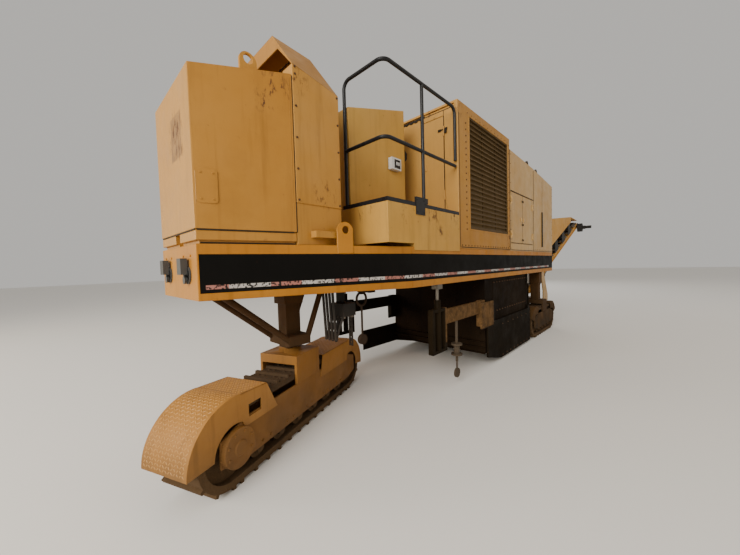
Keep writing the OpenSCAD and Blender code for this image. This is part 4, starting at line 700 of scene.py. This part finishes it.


# Under the frame: drum housing, side plates and their lift gear
# Thick plate blackened with asphalt and oil over old yellow paint, and darkened further as painted shade for the
# dark under the frame. Rows of bolts hold the housing's walls, and the side plates slide on chromed rods, each with
# larger bolts along its foot.
# Partly painted shade: these near-black colours hold the shade under the frame as well as asphalt, oil and dirt.
asphalt_and_shade_black = weathered("asphalt_and_shade_black", (0.006, 0.0035, 0.002), (0.014, 0.008, 0.0035), rust=0.6, dust=0.4,
                          rough=0.7, seed=31.0, streaks=0.7, ground=0.9, bumpy=0.5, grain=16.0, shine=0.05,
                          grime_colour=(0.024, 0.014, 0.007))
plate_dark = weathered("plate_dark", (0.0035, 0.0022, 0.0010), (0.015, 0.009, 0.0034), rust=0.8, dust=0.45, rough=0.6,
                       seed=33.0, streaks=0.7, ground=1.1, bumpy=0.4, grain=16.0, shine=0.06,
                       stains=(((station(3.47), 0.98, 0.93), (0.74, 0.13, 0.26)),),
                       grime_colour=(0.009, 0.006, 0.003))
eased("drum_housing", asphalt_and_shade_black, 0.003)
eased("left_side_plate", plate_dark, 0.004)
eased("right_side_plate", plate_dark, 0.004)
eased("moldboard", asphalt_and_shade_black, 0.003)
wall_face, front_wall, plate_face = 0.910, station(3.97), 0.9465
house_bm = bmesh.new()
side_bolts(house_bm, wall_face, [(4.32, z, 5.90, z, 14, 0.013, 0.010) for z in (1.35, 0.87)])
mirrored(house_bm)
new_piece("housing_bolts_low", house_bm, bolt_rust, "chassis")
front_bm = bmesh.new()
for z in (0.55, 0.80, 1.05, 1.30):
    bolt_heads(front_bm, (front_wall, -0.82, z), (front_wall, 0.82, z), 9, ahead, 0.013, 0.010)
new_piece("housing_bolts_front", front_bm, asphalt_and_shade_black, "chassis")
for side, body in ((1.0, "left_side_plate"), (-1.0, "right_side_plate")):
    wear_bm = bmesh.new()
    side_bolts(wear_bm, side * plate_face, (
        (4.60, 0.085, 6.10, 0.085, 9, 0.016, 0.006), (4.60, 0.62, 6.10, 0.62, 7, 0.012, 0.006),
        (3.80, 0.72, 3.80, 1.00, 3, 0.014, 0.008), (4.20, 0.72, 4.20, 1.00, 3, 0.014, 0.008)))
    new_piece(body + "_bolts", wear_bm, bolt_rust, body)
polished = weathered("polished_rod", (0.22, 0.20, 0.18), (0.16, 0.14, 0.11), rust=0.7, dust=0.5, rough=0.35, seed=35.0,
                     metal=1.0)
finished("plate_lift_gear", polished)
chain_rust = weathered("chain_rust", (0.020, 0.011, 0.006), (0.038, 0.023, 0.014), rust=0.7, dust=0.5, rough=0.7,
                       seed=36.6, shine=0.1, grime_colour=(0.034, 0.021, 0.012))
finished("hanging_links", chain_rust)
sensor_steel = weathered("sensor_steel", (0.060, 0.044, 0.030), (0.110, 0.084, 0.056), rust=0.8, dust=0.5, rough=0.6,
                         seed=36.9, shine=0.15, grime_colour=(0.060, 0.040, 0.024))
finished("grade_sensor", sensor_steel)
finished("cover_brackets", dark_iron)


# Cutting drum
# A steel shell with tool holders welded on in two helices that meet in the middle. The holders are worn bright
# at their fronts and the teeth have hard-metal tips.
worn_drum = weathered("worn_drum", (0.085, 0.055, 0.035), (0.16, 0.12, 0.09), rust=0.8, dust=0.9, rough=0.5, seed=38.0,
                      bumpy=0.4, grain=18.0)
finished("cutting_drum", worn_drum)


# Hydraulic lines
# Black rubber hoses with crimped steel ends, looping down from a valve block behind the nose leg.
hose_rubber = weathered("hose_rubber", (0.014, 0.013, 0.012), (0.028, 0.025, 0.021), rust=0.0, dust=0.5, rough=0.55,
                        seed=40.0)
finished("hydraulic_lines", hose_rubber)
bare_steel = weathered("bare_steel", (0.13, 0.10, 0.075), (0.20, 0.17, 0.14), rust=0.9, dust=0.6, rough=0.5, seed=36.0)
hose_end = 1.128
fitting_bm = bmesh.new()
for y in (0.245, 0.300, 0.355, 0.410):
    for x in (station(1.45), station(1.57)):
        bmesh.ops.create_cone(fitting_bm, cap_ends=True, segments=6, radius1=0.020, radius2=0.020, depth=0.022,
                              matrix=Matrix.Translation((x, y, hose_end)))
new_piece("hose_fittings", fitting_bm, bare_steel, "chassis")


# Legs and braces
# The nose leg is a square post with four braces down from the frame; the two rear legs slide in collars. All are
# old yellow worn down to brown steel.
leg_rust = weathered("leg_rust", (0.045, 0.020, 0.007), (0.080, 0.038, 0.012), rust=0.8, dust=0.6, rough=0.7, seed=42.0,
                     bumpy=0.3, grain=14.0, shine=0.12, grime_colour=(0.055, 0.034, 0.017))
eased("nose_leg", leg_rust, 0.003)
eased("rear_legs", leg_rust, 0.004)


# Crawler tracks
# Forged shoes with a grouser each on a sealed chain, packed with dried earth. Shoes are held by four bolts. The
# frames are yellow plate with a round cover over each final drive.
steer_x, steer_turn = station(1.020), math.radians(22.0)
steered = Matrix.Translation((steer_x, 0.0, 0.0)) @ Matrix.Rotation(steer_turn, 4, "Z")
axle_z, track_r, shoe_pitch = 0.326, 0.300, 0.150
track_earth = weathered("track_earth", (0.036, 0.022, 0.012), (0.072, 0.046, 0.027), rust=0.8, dust=0.9, rough=0.85,
                        seed=44.0, bumpy=0.9, grain=24.0, ground=0.9, shine=0.12)
track_yellow = weathered("track_yellow", (0.272, 0.114, 0.017), (0.215, 0.098, 0.024), rust=0.95, dust=0.5, rough=0.5,
                         seed=46.0, ground=0.9, grime_colour=(0.095, 0.048, 0.018))
for node in ("nose_track_loop", "left_track_loop", "right_track_loop", "nose_track_wheels", "rear_track_wheels"):
    finished(node, track_earth)
eased("nose_track_frame", track_yellow, 0.004)
track_caked = weathered("track_caked", (0.110, 0.050, 0.012), (0.070, 0.036, 0.011), rust=0.9, dust=0.8, rough=0.7,
                        seed=47.0, ground=1.0, bumpy=0.4, grain=16.0, shine=0.12, grime_colour=(0.040, 0.025, 0.013))
eased("rear_track_frames", track_caked, 0.004)
eased("nose_yoke", track_yellow, 0.006)


def steered_piece(name, bm, material):
    """A piece modelled straight ahead, turned with the nose track that it rides on."""
    bmesh.ops.transform(bm, matrix=steered, verts=bm.verts)
    new_piece(name, bm, material, "nose_track")


def shoe_bolts(length, width, place):
    """Bolt heads on the shoes of a loop's upper run."""
    bm = bmesh.new()
    shoes = round(length / shoe_pitch)
    for i in range(shoes):
        for dx in (-0.035, 0.035):
            x = -length / 2 + (i + 1.0) * length / shoes + dx
            if x <= length / 2:
                for share in (-0.33, -0.16, 0.16, 0.33):
                    spot = (x, width * share, axle_z + track_r)
                    bolt_heads(bm, spot, spot, 1, (0.0, 0.0, 1.0), 0.013, 0.009)
    bmesh.ops.transform(bm, matrix=place, verts=bm.verts)
    return bm


new_piece("nose_shoe_bolts", shoe_bolts(2.000, 0.400, steered), track_earth, "nose_track")
rear_track_x, rear_track_y = (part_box("left_track_loop")[0].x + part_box("left_track_loop")[1].x) / 2, 0.772
for side, name in ((1.0, "left_shoe_bolts"), (-1.0, "right_shoe_bolts")):
    rear_bolts_bm = shoe_bolts(1.260, 0.340, Matrix.Translation((rear_track_x, side * rear_track_y, 0.0)))
    new_piece(name, rear_bolts_bm, track_earth, "chassis")

drive_bm = bmesh.new()
cover_x, cover_y, cover_z, cover_foot, ring_r = 0.980, 0.2583, axle_z + 0.005, 0.24, 0.118
beam_face, beam_z = 0.2185, 0.225
for side in (-1.0, 1.0):
    outward = (0.0, side, 0.0)
    for i in range(8):
        turn = i * math.tau / 8 + 0.39
        spot = (cover_x + ring_r * math.cos(turn), side * cover_y, cover_z + ring_r * math.sin(turn))
        if spot[2] > cover_foot:
            bolt_heads(drive_bm, spot, spot, 1, outward, 0.012, 0.007)
    hub = (Matrix.Translation((cover_x, side * (cover_y + 0.004), cover_z))
           @ Matrix.Rotation(-side * math.pi / 2, 4, "X"))
    bmesh.ops.create_cone(drive_bm, cap_ends=True, segments=28, radius1=0.062, radius2=0.052, depth=0.010, matrix=hub)
    for x in [-0.72 + i * 0.33 for i in range(5)]:
        bolt_heads(drive_bm, (x, side * beam_face, beam_z), (x + 0.10, side * beam_face, beam_z), 2, outward, 0.013,
                   0.009)
steered_piece("drive_covers", drive_bm, track_yellow)


# Fenders
# Rolled tread plate over both ends of the nose track, welded to plain side plates and bent at the edges by use.
tread_worn = weathered("tread_worn", (0.45, 0.212, 0.042), (0.47, 0.240, 0.060), rust=0.3, dust=0.3, rough=0.4,
                       seed=49.0, ground=0.7, shine=0.4)
fender_yellow = weathered("fender_yellow", (0.305, 0.130, 0.020), (0.39, 0.178, 0.038), rust=0.9, dust=0.5, rough=0.5,
                          seed=48.0, ground=0.7, streaks=0.6)
eased("nose_fenders", fender_yellow, 0.002, segments=1)
eased("rear_fenders", track_caked, 0.002, segments=1)
fender_half, columns = 0.2263, 15


def column_y(column):
    """The y of a column of tread bumps across a fender."""
    return -fender_half + 0.02 + (2 * fender_half - 0.04) * (column + 0.5) / columns


def fender_tread(name, centre_x, radius, first, last, rows):
    """Tread bumps round a fender from one angle to another, in degrees above the axle's level."""
    def spot(row, column):
        turn = math.radians(first + (last - first) * (row + 0.5) / rows)
        up = Vector((math.cos(turn), 0.0, math.sin(turn)))
        return (Vector((centre_x, column_y(column), axle_z)) + up * (radius + 0.0009), up,
                Vector((-math.sin(turn), 1.0, math.cos(turn))).normalized())

    bm = bmesh.new()
    tread_bumps(bm, rows, columns, spot)
    steered_piece(name, bm, tread_worn)


fender_tread("front_fender_tread", 1.000, 0.400, 3.0, 97.0, 24)
fender_tread("rear_fender_tread", -1.000, 0.360, 83.0, 187.0, 20)


# Level parts of the two fenders
# From the crown of each wheel the tread plate runs on level towards the leg, carried on the track's frame by a
# flat plate on each side. The front pair of plates has an opening over the chain.
skirt_t, skirt_out, level_t = 0.008, fender_half + 0.0005, 0.006
for end, corners, hole, rows in (
        ("front", ((0.935, 0.7205), (0.640, 0.702), (0.511, 0.445), (0.900, 0.445), (0.925, 0.520)),
         (0.715, 0.855, 0.505, 0.605), 9),
        ("rear", ((-0.935, 0.6801), (-0.300, 0.672), (-0.235, 0.430), (-0.900, 0.430), (-0.925, 0.520)), None, 19)):
    skirt_bm = bmesh.new()
    skirt_bm.faces.new([skirt_bm.verts.new((x, skirt_out - skirt_t, z)) for x, z in corners])
    if hole:
        hole_rear, hole_front, hole_low, hole_top = hole
        for at, across in (((hole_rear, 0, 0), (1, 0, 0)), ((hole_front, 0, 0), (1, 0, 0)),
                           ((0, 0, hole_low), (0, 0, 1)), ((0, 0, hole_top), (0, 0, 1))):
            bmesh.ops.bisect_plane(skirt_bm, geom=skirt_bm.verts[:] + skirt_bm.edges[:] + skirt_bm.faces[:],
                                   plane_co=at, plane_no=across)
        middles = {face: face.calc_center_median() for face in skirt_bm.faces}
        bmesh.ops.delete(skirt_bm, context="FACES_ONLY", geom=[
            face for face, c in middles.items() if hole_rear < c.x < hole_front and hole_low < c.z < hole_top])
    raised = bmesh.ops.extrude_face_region(skirt_bm, geom=skirt_bm.faces[:], use_keep_orig=True)["geom"]
    outer = [g for g in raised if isinstance(g, bmesh.types.BMVert)]
    bmesh.ops.translate(skirt_bm, vec=(0.0, skirt_t, 0.0), verts=outer)
    mirrored(skirt_bm)
    level_from, level_to = sorted((Vector((x, 0.0, z)) for x, z in corners[:2]), key=lambda v: v.x)
    level_run = level_to - level_from
    tilt = math.atan2(level_run.z, level_run.x)
    level_up = Vector((-math.sin(tilt), 0.0, math.cos(tilt)))
    bmesh.ops.create_cube(skirt_bm, size=1.0, matrix=(
        Matrix.Translation((level_from + level_to) / 2 - level_up * (level_t / 2)) @ Matrix.Rotation(-tilt, 4, "Y")
        @ Matrix.Diagonal((level_run.length, 2 * skirt_out, level_t, 1.0))))
    bmesh.ops.recalc_face_normals(skirt_bm, faces=skirt_bm.faces)
    steered_piece(end + "_fender_skirt", skirt_bm, fender_yellow)
    level_bm = bmesh.new()
    tread_bumps(level_bm, rows, columns, lambda i, j: (
        level_from + level_run * (i + 0.5) / rows + level_up * 0.0009 + Vector((0.0, column_y(j), 0.0)),
        level_up, (level_run.normalized() + Vector((0.0, 1.0, 0.0))).normalized()))
    steered_piece(end + "_fender_level_tread", level_bm, tread_worn)


# Gathering conveyor, swing base and hitch
# Steel channels under the frame carry cuttings to the turntable that the long conveyor stands on.
finished("gathering_conveyor", bare_steel)
eased("rear_hitch", hood_yellow, 0.004)
eased("swing_base", hood_yellow, 0.004)


# Discharge conveyor
# Two yellow channels carry a rubber belt on idlers, under a sheet-steel hood that thins out towards the head.
# The belt has moulded cleats, dust lies on everything, and the drive hangs from the side of the head.
conveyor_yellow = weathered("conveyor_yellow", (0.52, 0.25, 0.035), (0.57, 0.31, 0.07), rust=0.6, dust=0.3,
                            rough=0.5, seed=52.0)
belt_rubber = weathered("belt_rubber", (0.018, 0.017, 0.016), (0.040, 0.035, 0.029), rust=0.0, dust=0.6, rough=0.8,
                        seed=53.0, bumpy=0.3, grain=20.0)
eased("conveyor_frame", conveyor_yellow, 0.003)
eased("conveyor_cover", conveyor_yellow, 0.002, segments=1)
finished("conveyor_belt", belt_rubber)
finished("conveyor_rollers", bare_steel)
eased("conveyor_motor", dark_iron, 0.004)
slope, lift_x, lift_z = math.radians(19.0), station(8.350), 1.040
sloped = Matrix.Translation((lift_x, 0.0, lift_z)) @ Matrix.Rotation(math.pi, 4, "Z") @ Matrix.Rotation(-slope, 4, "Y")
cleat_pitch = 0.205
cleat_bm = bmesh.new()
for x in [-0.25 + i * cleat_pitch for i in range(32)]:
    for side in (-1.0, 1.0):
        turn = Matrix.Translation((x, side * 0.135, 0.1515)) @ Matrix.Rotation(side * math.radians(-28.0), 4, "Z")
        bar(cleat_bm, (-0.009, -0.145, -0.003), (0.009, 0.145, 0.009), 0.003, turn)
bmesh.ops.transform(cleat_bm, matrix=sloped, verts=cleat_bm.verts)
new_piece("belt_cleats", cleat_bm, belt_rubber, "conveyor")
run, channel_y = 6.450, 0.43
edge_bm = bmesh.new()
for i in range(12):
    x = 0.0186 * run + i * run / 12.4
    for side in (-1.0, 1.0):
        bolt_heads(edge_bm, (x - 0.055, side * channel_y, 0.045), (x + 0.055, side * channel_y, 0.045), 2,
                   (0.0, side, 0.0), 0.012, 0.009)
bmesh.ops.transform(edge_bm, matrix=sloped, verts=edge_bm.verts)
new_piece("idler_bolts", edge_bm, bare_steel, "conveyor")


# Lift cylinders of the conveyor
# Black-painted steel barrels with chromed rods, pinned to the swing base and to the conveyor's frame.
finished("lift_barrels", rail_black)
finished("lift_rods", polished)
